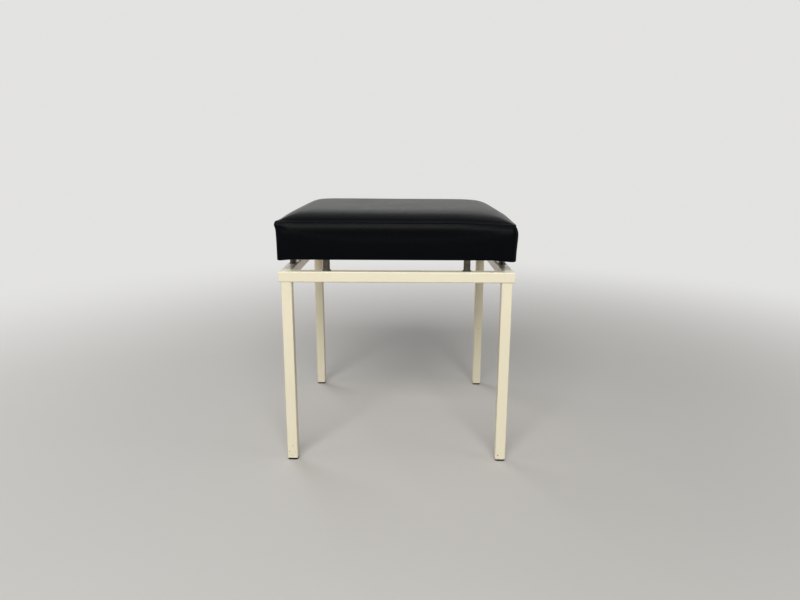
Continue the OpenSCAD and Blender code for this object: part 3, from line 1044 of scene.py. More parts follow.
@dataclass
class SeamStitches:
    """A row of stitches along the seat's seam, made by Geometry Nodes that follow its path."""

    pitch: float = 4.6 * MM
    length: float = 3.2 * MM
    width: float = 0.55 * MM

    def tree(self) -> Tree:
        """Builds the tree: short thread beads along the path, a pitch apart, in line with it.

        Returns:
            The tree, with the inputs Geometry, Pitch, Length, Width and Finish.
        """
        inputs = {"Pitch": "Float", "Length": "Float", "Width": "Float", "Finish": "Material"}
        wiring, given = geometry_tree("stitches_along_path", inputs)
        path = wiring.add("GeometryNodeMeshToCurve", {"Mesh": given["Geometry"]})
        spots = wiring.add("GeometryNodeCurveToPoints", {"Curve": path.outputs[0]}, mode="LENGTH")
        wiring.feed(spots.inputs["Length"], given["Pitch"])
        along = wiring.add("FunctionNodeAlignEulerToVector", axis="X")
        wiring.feed(along.inputs["Vector"], spots.outputs["Tangent"])
        bead = wiring.add("GeometryNodeMeshUVSphere", {"Segments": 6, "Rings": 5, "Radius": 0.5})
        size = wiring.add("ShaderNodeCombineXYZ")
        for axis, key in (("X", "Length"), ("Y", "Width"), ("Z", "Width")):
            wiring.feed(size.inputs[axis], given[key])
        shaped = wiring.add("GeometryNodeTransform", {"Geometry": bead.outputs[0]})
        wiring.feed(shaped.inputs["Scale"], size.outputs[0])
        stand = wiring.add("GeometryNodeInstanceOnPoints", {"Points": spots.outputs["Points"]})
        wiring.feed(stand.inputs["Instance"], shaped.outputs[0])
        wiring.feed(stand.inputs["Rotation"], along.outputs[0])
        end_tree(wiring, stand.outputs[0], given["Finish"])
        return wiring.tree

    def mesh(self, path: np.ndarray, material: Material) -> Mesh:
        """Sews along a closed path.

        Args:
            path: Points of the path, in order.
            material: Finish of the thread.

        Returns:
            The plain mesh of the stitches.
        """
        carrier = bpy.data.meshes.new("seam_path")
        count = len(path)
        edges = [(i, (i + 1) % count) for i in range(count)]
        carrier.from_pydata([tuple(p) for p in path], edges, [])
        sizes = {"Pitch": self.pitch, "Length": self.length, "Width": self.width}
        return grown(carrier, self.tree(), {**sizes, "Finish": material})


@dataclass(frozen=True)
class Corner:
    """One upright corner of the seat, and how use has changed it.

    A reach is the distance over which the change named before it fades away from the corner.

    Attributes:
        side_x: Side across, -1 for left and 1 for right.
        side_y: Side in depth, -1 for the front and 1 for the back.
        radius: Plan radius of the corner.
        ear: How far the corner's tip is drawn out.
        ear_depth: Depth below the seam over which that fades.
        drop: How far the seam has sunk at the corner, or risen where it is negative.
        bulge: How far the band swells beside the corner.
        bulge_power: How high on the band the swelling is greatest; more is higher.
        sag: How far the hem hangs lower.
        seam_groove: Depth of the band's upright seam.
        seam_width: Half width of that seam.
        seam_start: Depth below the rim at which the seam is fully there.
    """

    side_x: int
    side_y: int
    radius: float = 6 * MM
    ear: float = 1.0 * MM
    ear_reach: float = 13 * MM
    ear_depth: float = 7 * MM
    drop: float = 0.6 * MM
    drop_reach_x: float = 115 * MM
    drop_reach_y: float = 150 * MM
    bulge: float = 0.0
    bulge_power: float = 1.8
    sag: float = 1.2 * MM
    sag_reach: float = 30 * MM
    seam_groove: float = 0.45 * MM
    seam_width: float = 0.8 * MM
    seam_start: float = 1.5 * MM


@dataclass(frozen=True)
class Crease:
    """A soft crease in the cover, from one point to another.

    Attributes:
        start: Where it begins.
        end: Where it ends.
        width: Distance over which it fades sideways.
        depth: Its greatest depth.
        first_phase: Place of the start on the sine that gives the depth along it, in half turns.
        phases: Part of that sine that the crease covers, in half turns.
    """

    start: Point
    end: Point
    width: float
    depth: float
    first_phase: float = 0.15
    phases: float = 0.7


def eased(share: np.ndarray) -> np.ndarray:
    """Eases a share smoothly from 0 to 1, held at both ends."""
    held = np.clip(share, 0.0, 1.0)
    return held * held * (3.0 - 2.0 * held)


@dataclass
class Sheet:
    """The whole cover as one sheet.

    Attributes:
        points: Its points: first the top's grid, then each ring below it.
        faces: Its faces, first the top's.
        top: Count of points in the top.
        top_faces: Count of faces in the top.
        ring: Count of points in one ring.
    """

    points: np.ndarray
    faces: Faces
    top: int
    top_faces: int
    ring: int


@dataclass
class SeatForm:
    """Shape of the seat's cover: crowned top, groove at the seam, swelling side band and hem.

    Attributes:
        crown: Height of the dome over the seam.
        power_left: How late the dome falls off to the left; more is flatter and steeper at the rim.
        power_right: The same to the right.
        power_front: The same to the front.
        power_back: The same to the back.
        shoulder: Height of the rounding at the rim.
        shoulder_width: Width of that rounding.
        tuck: How deep the top panel dives into the seam.
        roll_width: Width over which it dives.
        lip: Height of the puffed lip beside the seam.
        lip_place: Distance of the lip from the seam.
        lip_width: Width over which the lip fades.
        groove: How far the seam lies inside the seat's outline.
        swell: How far the side band swells outward.
        swell_height: Depth below the seam at which the swelling is fully there.
        swell_loss: How much of it is lost again at the hem.
        bend: Radius of the cover's lower edge.
        hang: How far the lower edge hangs below the hem.
        hem: How far the hem reaches in under the board.
        back_rise: How much higher the seam runs at the back.
        left_rise: How much higher the dome is at the left rim.
        seam_drop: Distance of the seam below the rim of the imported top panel.
        top_shift: How far the seat's top leans to the left.
        top_spread: How far the top is spread to each side.
        belly_reach: Distance from a side over which a corner's bulge fades.
        sag_height: Share of the band's height that sags with the hem.
        cell: Spacing of the grid lines on the top.
        rim_lines: Distances of the closer grid lines from the rim.
        band_lines: Depths of the rings of points on the side band.
        bend_rows: Steps round the bend.
        hem_shares: Places of the rings of points on the hem, as shares of its width.
        half_x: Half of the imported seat's width.
        half_y: Half of its depth.
        base_z: Height of its lower edge.
        seam_z: Height of the seam.
    """

    crown: float = 10.6 * MM
    power_left: float = 15.9
    power_right: float = 9.0
    power_front: float = 7.0
    power_back: float = 7.0
    shoulder: float = 8.4 * MM
    shoulder_width: float = 36.4 * MM
    tuck: float = 3.0 * MM
    roll_width: float = 0.5 * MM
    lip: float = 1.4 * MM
    lip_place: float = 0.2 * MM
    lip_width: float = 2.0 * MM
    groove: float = 1.0 * MM
    swell: float = 3.0 * MM
    swell_height: float = 15 * MM
    swell_loss: float = 0.4 * MM
    bend: float = 2.0 * MM
    hang: float = 2.4 * MM
    hem: float = 34 * MM
    thickness: float = 1.2 * MM
    back_rise: float = 1.6 * MM
    left_rise: float = 1.2 * MM
    seam_drop: float = 2.1 * MM
    top_shift: float = 0.3 * MM
    top_spread: float = 1.4 * MM
    belly_reach: float = 30 * MM
    sag_height: float = 0.3
    cell: float = 5.6 * MM
    rim_lines: tuple[float, ...] = (
        0.0, 0.08 * MM, 0.2 * MM, 0.35 * MM, 0.55 * MM, 0.9 * MM, 1.4 * MM, 2.1 * MM, 3.1 * MM, 4.6 * MM,
        6.7 * MM, 9.4 * MM, 13 * MM,
    )
    band_lines: tuple[float, ...] = (
        0.15 * MM, 0.4 * MM, 0.8 * MM, 1.5 * MM, 2.4 * MM, 3.6 * MM, 5.2 * MM, 7.4 * MM, 10.2 * MM,
        14.0 * MM, 19 * MM, 25 * MM, 31 * MM, 37 * MM, 43 * MM, 48 * MM, 52 * MM, 55 * MM, 57 * MM,
    )
    bend_rows: int = 4
    hem_shares: tuple[float, ...] = (0.07, 0.14, 0.28, 0.5, 0.75, 1.0)
    corners: tuple[Corner, ...] = (
        Corner(
            -1, -1, radius=4 * MM, ear=4.0 * MM, drop=-1.1 * MM, drop_reach_x=40 * MM,
            drop_reach_y=90 * MM, sag=1.6 * MM, sag_reach=24 * MM,
        ),
        Corner(
            1, -1, radius=8 * MM, ear=0.3 * MM, ear_reach=60 * MM, drop=4.4 * MM,
            bulge=1.4 * MM, sag=3.0 * MM, sag_reach=44 * MM,
        ),
        Corner(-1, 1),
        Corner(1, 1),
    )
    creases: tuple[Crease, ...] = (
        Crease((0.154, -0.2105, 0.4270), (0.163, -0.2105, 0.4185), 2.2 * MM, 0.45 * MM),
        Crease((0.163, -0.2105, 0.4190), (0.171, -0.2105, 0.4100), 2.2 * MM, 0.40 * MM),
        Crease((0.148, -0.2105, 0.4195), (0.156, -0.2105, 0.4120), 2.4 * MM, 0.30 * MM),
        Crease((-0.196, -0.2105, 0.4300), (-0.186, -0.2105, 0.4225), 2.4 * MM, 0.30 * MM),
    )
    half_x: float = field(init=False)
    half_y: float = field(init=False)
    base_z: float = field(init=False)
    seam_z: float = field(init=False)

    def __post_init__(self) -> None:
        """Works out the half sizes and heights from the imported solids."""
        rim_low, rim_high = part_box("cover_top")
        self.half_x = rim_high.x
        self.half_y = rim_high.y
        self.base_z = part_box("cover_band")[0].z
        self.seam_z = rim_low.z + self.thickness - self.seam_drop

    def grid_lines(self, half: float) -> np.ndarray:
        """Spaces grid lines from one side to the other, closer together near the rim.

        Args:
            half: Half of the distance between the two sides.

        Returns:
            The grid lines.
        """
        rim = np.array(self.rim_lines)
        inner = half - rim[-1]
        count = int(round(2.0 * inner / self.cell))
        middle = np.linspace(-inner, inner, count + 1)
        return np.concatenate([rim[:-1] - half, middle, half - rim[-2::-1]])

    def corner_radius(self, x: np.ndarray, y: np.ndarray) -> np.ndarray:
        """Looks up the radius of the corner nearest to each plan point.

        Args:
            x: Plan positions across.
            y: Plan positions in depth.

        Returns:
            Plan radii.
        """
        radius = np.zeros(np.shape(x))
        for corner in self.corners:
            near = (np.sign(x) * corner.side_x >= 0) & (np.sign(y) * corner.side_y >= 0)
            radius = np.where(near, corner.radius, radius)
        return radius

    def rounded(self, x: np.ndarray, y: np.ndarray, inset: float) -> tuple[np.ndarray, np.ndarray]:
        """Rounds the corners of a rectangular grid that fills the inset outline.

        Args:
            x: Plan positions across.
            y: Plan positions in depth.
            inset: Distance of the grid's rim inside the seat's outline.

        Returns:
            The moved plan positions.
        """
        radius = self.corner_radius(x, y) - inset
        centre_x = self.half_x - inset - radius
        centre_y = self.half_y - inset - radius
        dx = np.maximum(np.abs(x) - centre_x, 0.0)
        dy = np.maximum(np.abs(y) - centre_y, 0.0)
        reach = np.maximum(np.hypot(dx, dy), TINY)
        scale = np.where((dx > 0) & (dy > 0), np.maximum(dx, dy) / reach, 1.0)
        new_x = np.where(dx > 0, np.sign(x) * (centre_x + dx * scale), x)
        new_y = np.where(dy > 0, np.sign(y) * (centre_y + dy * scale), y)
        return new_x, new_y

    def inward(self, x: np.ndarray, y: np.ndarray, inset: float) -> np.ndarray:
        """Works out how far inside the inset outline plan points lie.

        Args:
            x: Plan positions across.
            y: Plan positions in depth.
            inset: Distance of the inset outline inside the seat's outline.

        Returns:
            Distances.
        """
        radius = self.corner_radius(x, y) - inset
        dx = np.abs(x) - (self.half_x - inset - radius)
        dy = np.abs(y) - (self.half_y - inset - radius)
        straight = radius - np.maximum(dx, dy)
        return np.where((dx > 0) & (dy > 0), radius - np.hypot(dx, dy), straight)

    def top_height(self, x: np.ndarray, y: np.ndarray) -> np.ndarray:
        """Works out the top panel's height: crown and shoulder, with a lip that tucks into the seam.

        Args:
            x: Plan positions across.
            y: Plan positions in depth.

        Returns:
            Heights.
        """
        share_x = np.minimum(np.abs(x) / self.half_x, 1.0)
        share_y = np.minimum(np.abs(y) / self.half_y, 1.0)
        power = np.where(x < 0, self.power_left, self.power_right)
        depth_power = np.where(y < 0, self.power_front, self.power_back)
        crown = self.crown + self.left_rise * np.maximum(-x, 0.0) / self.half_x
        dome = crown * (1.0 - share_x**power) * (1.0 - share_y**depth_power)
        inside = self.inward(x, y, 0.0)
        share = np.clip(inside / self.shoulder_width, 0.0, 1.0)
        shoulder = self.shoulder * np.sqrt(1.0 - (1.0 - share) ** 2)
        beyond = inside - self.groove
        roll = np.clip(beyond / self.roll_width, 0.0, 1.0)
        tucked = self.tuck * (1.0 - np.sqrt(1.0 - (1.0 - roll) ** 2))
        lip = self.lip * np.exp(-(((beyond - self.lip_place) / self.lip_width) ** 2))
        return self.seam_z + dome + shoulder - tucked + lip

    def band_offset(self, depth: float) -> float:
        """Works out how far the side band stands outside the outline.

        Args:
            depth: Distance below the seam.

        Returns:
            Distance outward.
        """
        share = min(depth / self.swell_height, 1.0)
        rise = (self.groove + self.swell) * (1.0 - (1.0 - share) ** 2)
        lost = self.swell_loss * (depth / (self.seam_z - self.base_z)) ** 2
        return rise - self.groove - lost

    def sheet(self) -> Sheet:
        """Builds the whole cover as one sheet: top grid, band rows, bend rows and hem rows.

        Returns:
            The sheet.
        """
        lines_x = self.grid_lines(self.half_x - self.groove)
        lines_y = self.grid_lines(self.half_y - self.groove)
        grid_x, grid_y = np.meshgrid(lines_x, lines_y, indexing="ij")
        x, y = self.rounded(grid_x, grid_y, self.groove)
        top = np.stack([x, y, self.top_height(x, y)], axis=-1).reshape(-1, 3)
        nx, ny = len(lines_x) - 1, len(lines_y) - 1
        faces = []
        for i in range(nx):
            for j in range(ny):
                a = i * (ny + 1) + j
                faces.append((a, a + ny + 1, a + ny + 2, a + 1))
        top_faces = len(faces)
        ring = [i * (ny + 1) for i in range(nx)]
        ring += [nx * (ny + 1) + j for j in range(ny)]
        ring += [i * (ny + 1) + ny for i in range(nx, 0, -1)]
        ring += [j for j in range(ny, 0, -1)]
        rows = self.side_rows(top[ring])
        count = len(ring)
        previous = ring
        for k in range(len(rows)):
            current = [len(top) + k * count + i for i in range(count)]
            for i in range(count):
                j = (i + 1) % count
                faces.append((previous[i], current[i], current[j], previous[j]))
            previous = current
        return Sheet(np.concatenate([top, *rows]), faces, len(top), top_faces, count)

    def side_rows(self, rim: np.ndarray) -> list[np.ndarray]:
        """Builds the rings of points below the seam.

        Args:
            rim: Points of the seam, at the bottom of the groove.

        Returns:
            One array of points for each ring, from the seam down and under.
        """
        radius = self.corner_radius(rim[:, 0], rim[:, 1])
        limit = np.column_stack([self.half_x - radius, self.half_y - radius])
        out = rim[:, :2] - np.clip(rim[:, :2], -limit, limit)
        out /= np.linalg.norm(out, axis=1, keepdims=True)
        edge = rim[:, :2] + out * self.groove
        foot = self.base_z - self.hang
        rows = []
        for depth in self.band_lines:
            offset = self.band_offset(depth)
            rows.append(np.column_stack([edge + out * offset, rim[:, 2] - depth]))
        last = self.band_offset(self.seam_z - foot)
        for k in range(self.bend_rows + 1):
            angle = 0.5 * math.pi * k / self.bend_rows
            offset = last + self.bend * (math.cos(angle) - 1.0)
            z = foot + self.bend * (1.0 - math.sin(angle))
            rows.append(np.column_stack([edge + out * offset, np.full(len(rim), z)]))
        start = rows[-1]
        inner = start.copy()
        inner[:, 0] *= (self.half_x - self.hem) / self.half_x
        inner[:, 1] *= (self.half_y - self.hem) / self.half_y
        inner[:, 2] = self.base_z
        for share in self.hem_shares:
            row = start + (inner - start) * share
            row[:, 2] = foot + self.hang * min(share / self.hem_shares[1], 1.0)
            rows.append(row)
        return rows

    def lived_in(self, points: np.ndarray) -> np.ndarray:
        """Moves points of the seat as use has: pointed or sunk corners, a sagging hem, faint creases.

        Args:
            points: Points of the seat.

        Returns:
            The moved points.
        """
        moved = points.copy()
        height = (points[:, 2] - self.base_z) / (self.seam_z - self.base_z)
        rise = np.clip(height, 0.0, 1.0)
        moved[:, 0] += (self.top_spread * points[:, 0] / self.half_x - self.top_shift) * rise**4
        moved[:, 2] += self.back_rise * rise**2 * (points[:, 1] + self.half_y) / (2.0 * self.half_y)
        for corner in self.corners:
            moved += self.cornered(points, height, corner)
        for crease in self.creases:
            moved[:, 1] += self.creased(points, crease)
        return moved

    def cornered(self, points: np.ndarray, height: np.ndarray, corner: Corner) -> np.ndarray:
        """Works out how far a corner moves points: its drop, belly, ear, seam and sagging hem.

        Args:
            points: Points of the seat.
            height: Their heights as shares of the band.
            corner: The corner.

        Returns:
            One move for each point.
        """
        rise = np.clip(height, 0.0, 1.0)
        off_x = self.half_x - corner.side_x * points[:, 0]
        off_y = self.half_y - corner.side_y * points[:, 1]
        below_seam = (1.0 - height) * (self.seam_z - self.base_z)
        near = eased(1.0 - off_x / corner.drop_reach_x) * eased(1.0 - off_y / corner.drop_reach_y)
        belly = corner.bulge * near * np.sin(math.pi * rise**corner.bulge_power)
        point = corner.ear * np.exp(-(off_x**2 + off_y**2) / corner.ear_reach**2)
        point *= np.exp(-((below_seam / corner.ear_depth) ** 2))
        from_diagonal = (off_x - off_y) / math.sqrt(2.0)
        at_corner = eased(2.0 - (off_x + off_y) / corner.radius)
        at_corner = at_corner * eased(below_seam / corner.seam_start)
        point -= corner.seam_groove * at_corner * np.exp(-((from_diagonal / corner.seam_width) ** 2))
        out_x = np.exp(-np.maximum(off_x, 0.0) / self.belly_reach)
        out_y = np.exp(-np.maximum(off_y, 0.0) / self.belly_reach)
        low = np.clip(1.0 - height / self.sag_height, 0.0, 1.0) ** 2
        hanging = eased(1.0 - off_x / corner.sag_reach) * eased(1.0 - off_y / corner.sag_reach)
        across = corner.side_x * (belly * out_x + point)
        deep = corner.side_y * (0.5 * belly * out_y + point)
        upward = -corner.drop * near * rise**2 - corner.sag * hanging * low
        return np.column_stack([across, deep, upward])

    @staticmethod
    def creased(points: np.ndarray, crease: Crease) -> np.ndarray:
        """Works out how far one crease draws points in from the front.

        Args:
            points: Points of the seat.
            crease: The crease.

        Returns:
            Distances inward.
        """
        start = np.array(crease.start)
        line = np.array(crease.end) - start
        share = np.clip((points - start) @ line / (line @ line), 0.0, 1.0)
        away = np.linalg.norm(points - start - share[:, None] * line, axis=1)
        beside = np.exp(-((away / crease.width) ** 2))
        along = np.sin(math.pi * (crease.first_phase + crease.phases * share))
        return crease.depth * beside * along


@dataclass
class Cushion:
    """The upholstered seat: cover top, side band with its hem, stitches and foam.

    Attributes:
        cap: Furthest that the cloth simulation may move a point.
        pressure: Pressure of the foam from inside.
        stretch: The cloth's stiffness against stretching, as shear and bending are against those.
        seam_hold: How firmly the seam is held.
        top_ease: Distance from the seam over which the top's movement sets in.
        band_ease: The same on the side band.
        foam_round: How much further inside the foam lies at the seam.
        foam_round_reach: Distance from the seam over which that fades.
        foam_floor: Least height of a foam ring over the board.
    """

    form: SeatForm = field(default_factory=SeatForm)
    cap: float = 0.8 * MM
    pressure: float = 3.0
    frames: int = 12
    cloth_quality: int = 4
    cloth_mass: float = 0.25
    stretch: float = 30.0
    shear: float = 12.0
    bending: float = 4.0
    seam_hold: float = 0.95
    top_ease: float = 70 * MM
    band_ease: float = 16 * MM
    foam_gap: float = 0.4 * MM
    foam_round: float = 2.6 * MM
    foam_round_reach: float = 6 * MM
    foam_floor: float = 0.5 * MM

    def build(self, cover: Material, foam: Material, thread: Material) -> None:
        """Builds all the soft pieces.

        Args:
            cover: Finish of the leatherette.
            foam: Finish of the foam.
            thread: Finish of the thread.
        """
        sheet = self.form.sheet()
        sheet.points = self.swollen(sheet)
        panel, band = sheet.faces[: sheet.top_faces], sheet.faces[sheet.top_faces :]
        self.skin("cover_top_panel", "cover_top", sheet.points, panel, cover)
        self.skin("cover_side_band", "cover_band", sheet.points, band, cover)
        self.foam(sheet, foam)
        self.stitches(sheet, thread)

    def swollen(self, sheet: Sheet) -> np.ndarray:
        """Lets the cover swell as cloth under the foam's pressure, held at its seam and hem.

        Args:
            sheet: The cover's sheet.

        Returns:
            Its swollen points, none moved further than the cap, and none moved at the seam itself.
        """
        points = sheet.points
        closing = tuple(range(len(points) - sheet.ring, len(points)))
        piece = linked("cover_cloth", mesh_from("cover_cloth", points, [*sheet.faces, closing]))
        held = piece.vertex_groups.new(name="held")
        soft = sheet.top + sheet.ring * len(self.form.band_lines)
        held.add(list(range(soft, len(points))), 1.0, "REPLACE")
        first_row = sheet.faces[sheet.top_faces :][: sheet.ring]
        seam = sorted({v for face in first_row for v in face if v < sheet.top})
        held.add(seam, self.seam_hold, "REPLACE")
        self.as_cloth(piece)
        scene = bpy.context.scene
        for frame_number in range(1, self.frames + 1):
            scene.frame_set(frame_number)
        moved = vertices_of(baked(piece))
        bpy.data.objects.remove(piece)
        scene.frame_set(1)
        shift = moved - points
        far = np.linalg.norm(shift, axis=1, keepdims=True)
        most, usual = far.max() / MM, far.mean() / MM
        LOG.info("cloth moved the cover by %.2f mm at most, %.2f mm on average", most, usual)
        limited = self.cap * (1.0 - np.exp(-far / self.cap)) / np.maximum(far, TINY)
        inside = self.form.inward(points[:, 0], points[:, 1], self.form.groove)
        below = self.form.seam_z - points[:, 2]
        in_top = np.arange(len(points)) < sheet.top
        ease = eased(np.where(in_top, inside / self.top_ease, below / self.band_ease))
        return points + shift * limited * ease[:, None]

    def as_cloth(self, piece: Piece) -> None:
        """Makes a piece move as weightless cloth with pressure inside.

        Args:
            piece: The piece, whose vertex group "held" says what stays in place.
        """
        modifier = piece.modifiers.new("cloth", "CLOTH")
        cloth = modifier.settings
        cloth.quality = self.cloth_quality
        cloth.mass = self.cloth_mass
        cloth.tension_stiffness = self.stretch
        cloth.compression_stiffness = self.stretch
        cloth.shear_stiffness = self.shear
        cloth.bending_stiffness = self.bending
        cloth.use_pressure = True
        cloth.uniform_pressure_force = self.pressure
        cloth.vertex_group_mass = "held"
        cloth.effector_weights.gravity = 0.0
        modifier.point_cache.frame_end = self.frames

    def skin(
        self, name: str, node: str, points: np.ndarray, faces: Faces, material: Material
    ) -> None:
        """Makes one closed panel of the cover from part of the sheet.

        Args:
            name: Name of the piece.
            node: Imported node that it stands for.
            points: Points of the whole sheet.
            faces: The panel's faces.
            material: Its finish.
        """
        mesh = mesh_from(name, points, faces)
        piece = make_piece(name, mesh, material, Slot.LEATHERETTE)
        drop_loose(mesh)
        fine = piece.modifiers.new("fine", "SUBSURF")
        fine.levels = 1
        fine.render_levels = 1
        settle(piece)
        set_vertices(piece.data, self.form.lived_in(vertices_of(piece.data)))
        wall = piece.modifiers.new("wall", "SOLIDIFY")
        wall.thickness = self.form.thickness
        wall.offset = -1.0
        settle(piece)
        shade_smooth(piece.data)
        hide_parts(node)

    def foam(self, sheet: Sheet, material: Material) -> None:
        """Makes the foam pad, which fills the cover down to the board.

        Args:
            sheet: The cover's sheet.
            material: Finish of the foam.
        """
        board_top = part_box("seat_board")[1].z
        ring = sheet.ring
        heights = sheet.points[sheet.top :: ring, 2][: len(self.form.band_lines)]
        rows = int((heights > board_top + self.foam_floor).sum())
        plain = sheet.points[: sheet.top + rows * ring]
        used = self.form.lived_in(plain)
        used_faces = [f for f in sheet.faces if max(f) < len(used)]
        mesh = mesh_from("foam_block", used, used_faces)
        normals = np.empty(len(used) * 3)
        mesh.vertices.foreach_get("normal", normals)
        bpy.data.meshes.remove(mesh)
        inside = self.form.inward(plain[:, 0], plain[:, 1], self.form.groove)
        below = self.form.seam_z - plain[:, 2]
        away = np.maximum(np.where(np.arange(len(used)) < sheet.top, inside, below), 0.0)
        rounding = self.foam_round * np.exp(-((away / self.foam_round_reach) ** 2))
        gap = self.form.thickness + self.foam_gap + rounding
        inner = used - normals.reshape(-1, 3) * gap[:, None]
        floor_ring = inner[-ring:].copy()
        floor_ring[:, 2] = board_top
        all_points = np.concatenate([inner, floor_ring])
        start = len(inner) - ring
        for i in range(ring):
            j = (i + 1) % ring
            used_faces.append((start + i, start + ring + i, start + ring + j, start + j))
        used_faces.append(tuple(len(all_points) - 1 - i for i in range(ring)))
        block = mesh_from("foam_block", all_points, used_faces)
        piece = make_piece("foam_block", block, material, Slot.FOAM)
        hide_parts("foam_pad")

    def stitches(self, sheet: Sheet, material: Material) -> None:
        """Sews the seam between the top panel and the side band.

        Args:
            sheet: The cover's sheet.
            material: Finish of the thread.
        """
        first_row = sheet.faces[sheet.top_faces :][: sheet.ring]
        path = self.form.lived_in(sheet.points[[face[0] for face in first_row]])
        mesh = SeamStitches().mesh(path, material)
        make_piece("seam_stitches", mesh, material, Slot.LEATHERETTE)


@dataclass
class FrameDetails:
    """Small forms of the welded frame: rounded end plates, weld beads and the feet.

    Attributes:
        tube_round: Radius of the tube's long edges.
        bead_step: Length of a weld bead's slices.
        bead_corners: Points on the curved side of a slice.
        bead_wave: Turn of the fast ripple from slice to slice, in radians.
        bead_slow_wave: Turn of the slow ripple.
        bead_slow_share: Height of the slow ripple as a share of the fast one.
        bead_phase: Turn of the slow ripple for each metre across, so that beads differ.
        bead_tip: Squared size of a bead's very end.
        bead_growth: How fast it grows from there with its share of the length.
        bead_hollow: How much the curved side is hollowed.
        foot_cut: Width of a foot's broken edges.
    """

    tube_round: float = 2.0 * MM
    end_round: float = 0.6 * MM
    end_steps: int = 4
    bead_step: float = 0.8 * MM
    bead_corners: int = 7
    bead_ripple: float = 0.16 * MM
    bead_wave: float = 2.4
    bead_slow_wave: float = 0.9
    bead_slow_share: float = 0.6
    bead_phase: float = 500.0
    bead_tip: float = 0.35
    bead_growth: float = 6.0
    bead_hollow: float = 0.2
    foot_round: float = 0.7 * MM
    foot_steps: int = 3
    foot_cut: float = 0.3 * MM
    plug_half: float = 7.3 * MM
    rib_half: float = 7.9 * MM
    rib_height: float = 1.2 * MM
    ribs: int = 3

    def build(self, finishes: dict[Slot, Material]) -> None:
        """Dresses the frame's details.

        Args:
            finishes: Material of each slot.
        """
        self.end_plates(finishes[Slot.ENAMEL])
        self.welds(finishes[Slot.ENAMEL])
        for node in ("front_left_foot", "front_right_foot", "back_left_foot", "back_right_foot"):
            self.foot(node, finishes[Slot.PLASTIC])

    def end_plates(self, material: Material) -> None:
        """Makes the plates that close the rail ends, their outer edges rounded over.

        Args:
            material: Their finish.
        """
        mesh = bpy.data.meshes.new("rounded_rail_ends")
        with opened(mesh) as work:
            for low, high in solids_of("rail_end_plates"):
                side = math.copysign(1.0, low.x)
                depth = high.x - low.x
                half = (high.y - low.y) / 2
                levels = [(0.0, half, self.tube_round)]
                for inset, drop in quarter_arc(self.end_round, self.end_steps):
                    levels.append((depth - drop, half - inset, self.tube_round - inset))
                plate = lofted("rail_end_plate", levels)
                inner = (low + high) / 2
                inner.x = low.x if side > 0 else high.x
                turn = Matrix.Rotation(side * math.pi / 2, 4, "Y")
                plate.transform(Matrix.Translation(inner) @ turn)
                work.from_mesh(plate)
        shade_by_angle(mesh)
        piece = make_piece("rounded_rail_ends", mesh, material, Slot.ENAMEL)
        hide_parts("rail_end_plates")

    def welds(self, material: Material) -> None:
        """Makes the rippled weld beads in the frame's hidden corners.

        Args:
            material: Their finish.
        """
        points = []
        faces = []
        for solid in solid_points("frame_welds"):
            self.bead(solid, points, faces)
        mesh = mesh_from("weld_beads", np.array(points), faces)
        piece = make_piece("weld_beads", mesh, material, Slot.ENAMEL)
        with opened(mesh) as work:
            bmesh.ops.recalc_face_normals(work, faces=work.faces)
        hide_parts("frame_welds")

    def bead(self, solid: np.ndarray, points: list[np.ndarray], faces: Faces) -> None:
        """Adds one weld bead in the place of a plain three-sided one.

        Args:
            solid: Points of the plain bead.
            points: Points of all the beads, which it adds to.
            faces: Faces of all the beads, which it adds to.
        """
        low, high = solid.min(0), solid.max(0)
        along = int(np.argmax(high - low))
        across, upward = [axis for axis in range(3) if axis != along]
        leg = high[across] - low[across]
        middle = (low + high) / 2
        lean = solid.mean(0) - middle
        root = np.array([low[axis] if lean[axis] < 0 else high[axis] for axis in range(3)])
        length = high[along] - low[along]
        count = int(round(length / self.bead_step))
        corners = self.bead_corners + 1
        for step in range(count + 1):
            start = len(points)
            share = step / count
            fast = math.sin(self.bead_wave * step)
            slow = math.sin(self.bead_slow_wave * step + middle[0] * self.bead_phase)
            ripple = self.bead_ripple * (fast + self.bead_slow_share * slow)
            taper = min(1.0, self.bead_tip + self.bead_growth * min(share, 1.0 - share))
            size = (leg - self.bead_ripple + ripple) * math.sqrt(taper)
            for k in range(corners):
                turned = (k - 1) / (self.bead_corners - 1)
                hollow = self.bead_hollow * math.sin(math.pi * turned)
                reach = 0.0 if k == 0 else size * (1.0 - hollow)
                angle = 0.5 * math.pi * turned
                place = root.copy()
                place[along] = low[along] + share * length
                place[across] += self.away(root, middle, across) * reach * math.cos(angle)
                place[upward] += self.away(root, middle, upward) * reach * math.sin(angle)
                points.append(place)
            if step:
                before = start - corners
                for k in range(corners):
                    n = (k + 1) % corners
                    faces.append((before + k, before + n, start + n, start + k))
            else:
                faces.append(tuple(start + k for k in range(corners)))
        faces.append(tuple(len(points) - 1 - k for k in range(corners)))

    @staticmethod
    def away(root: np.ndarray, middle: np.ndarray, axis: int) -> float:
        """Returns the sign of the way from a bead's root to its middle along one axis."""
        return math.copysign(1.0, middle[axis] - root[axis])

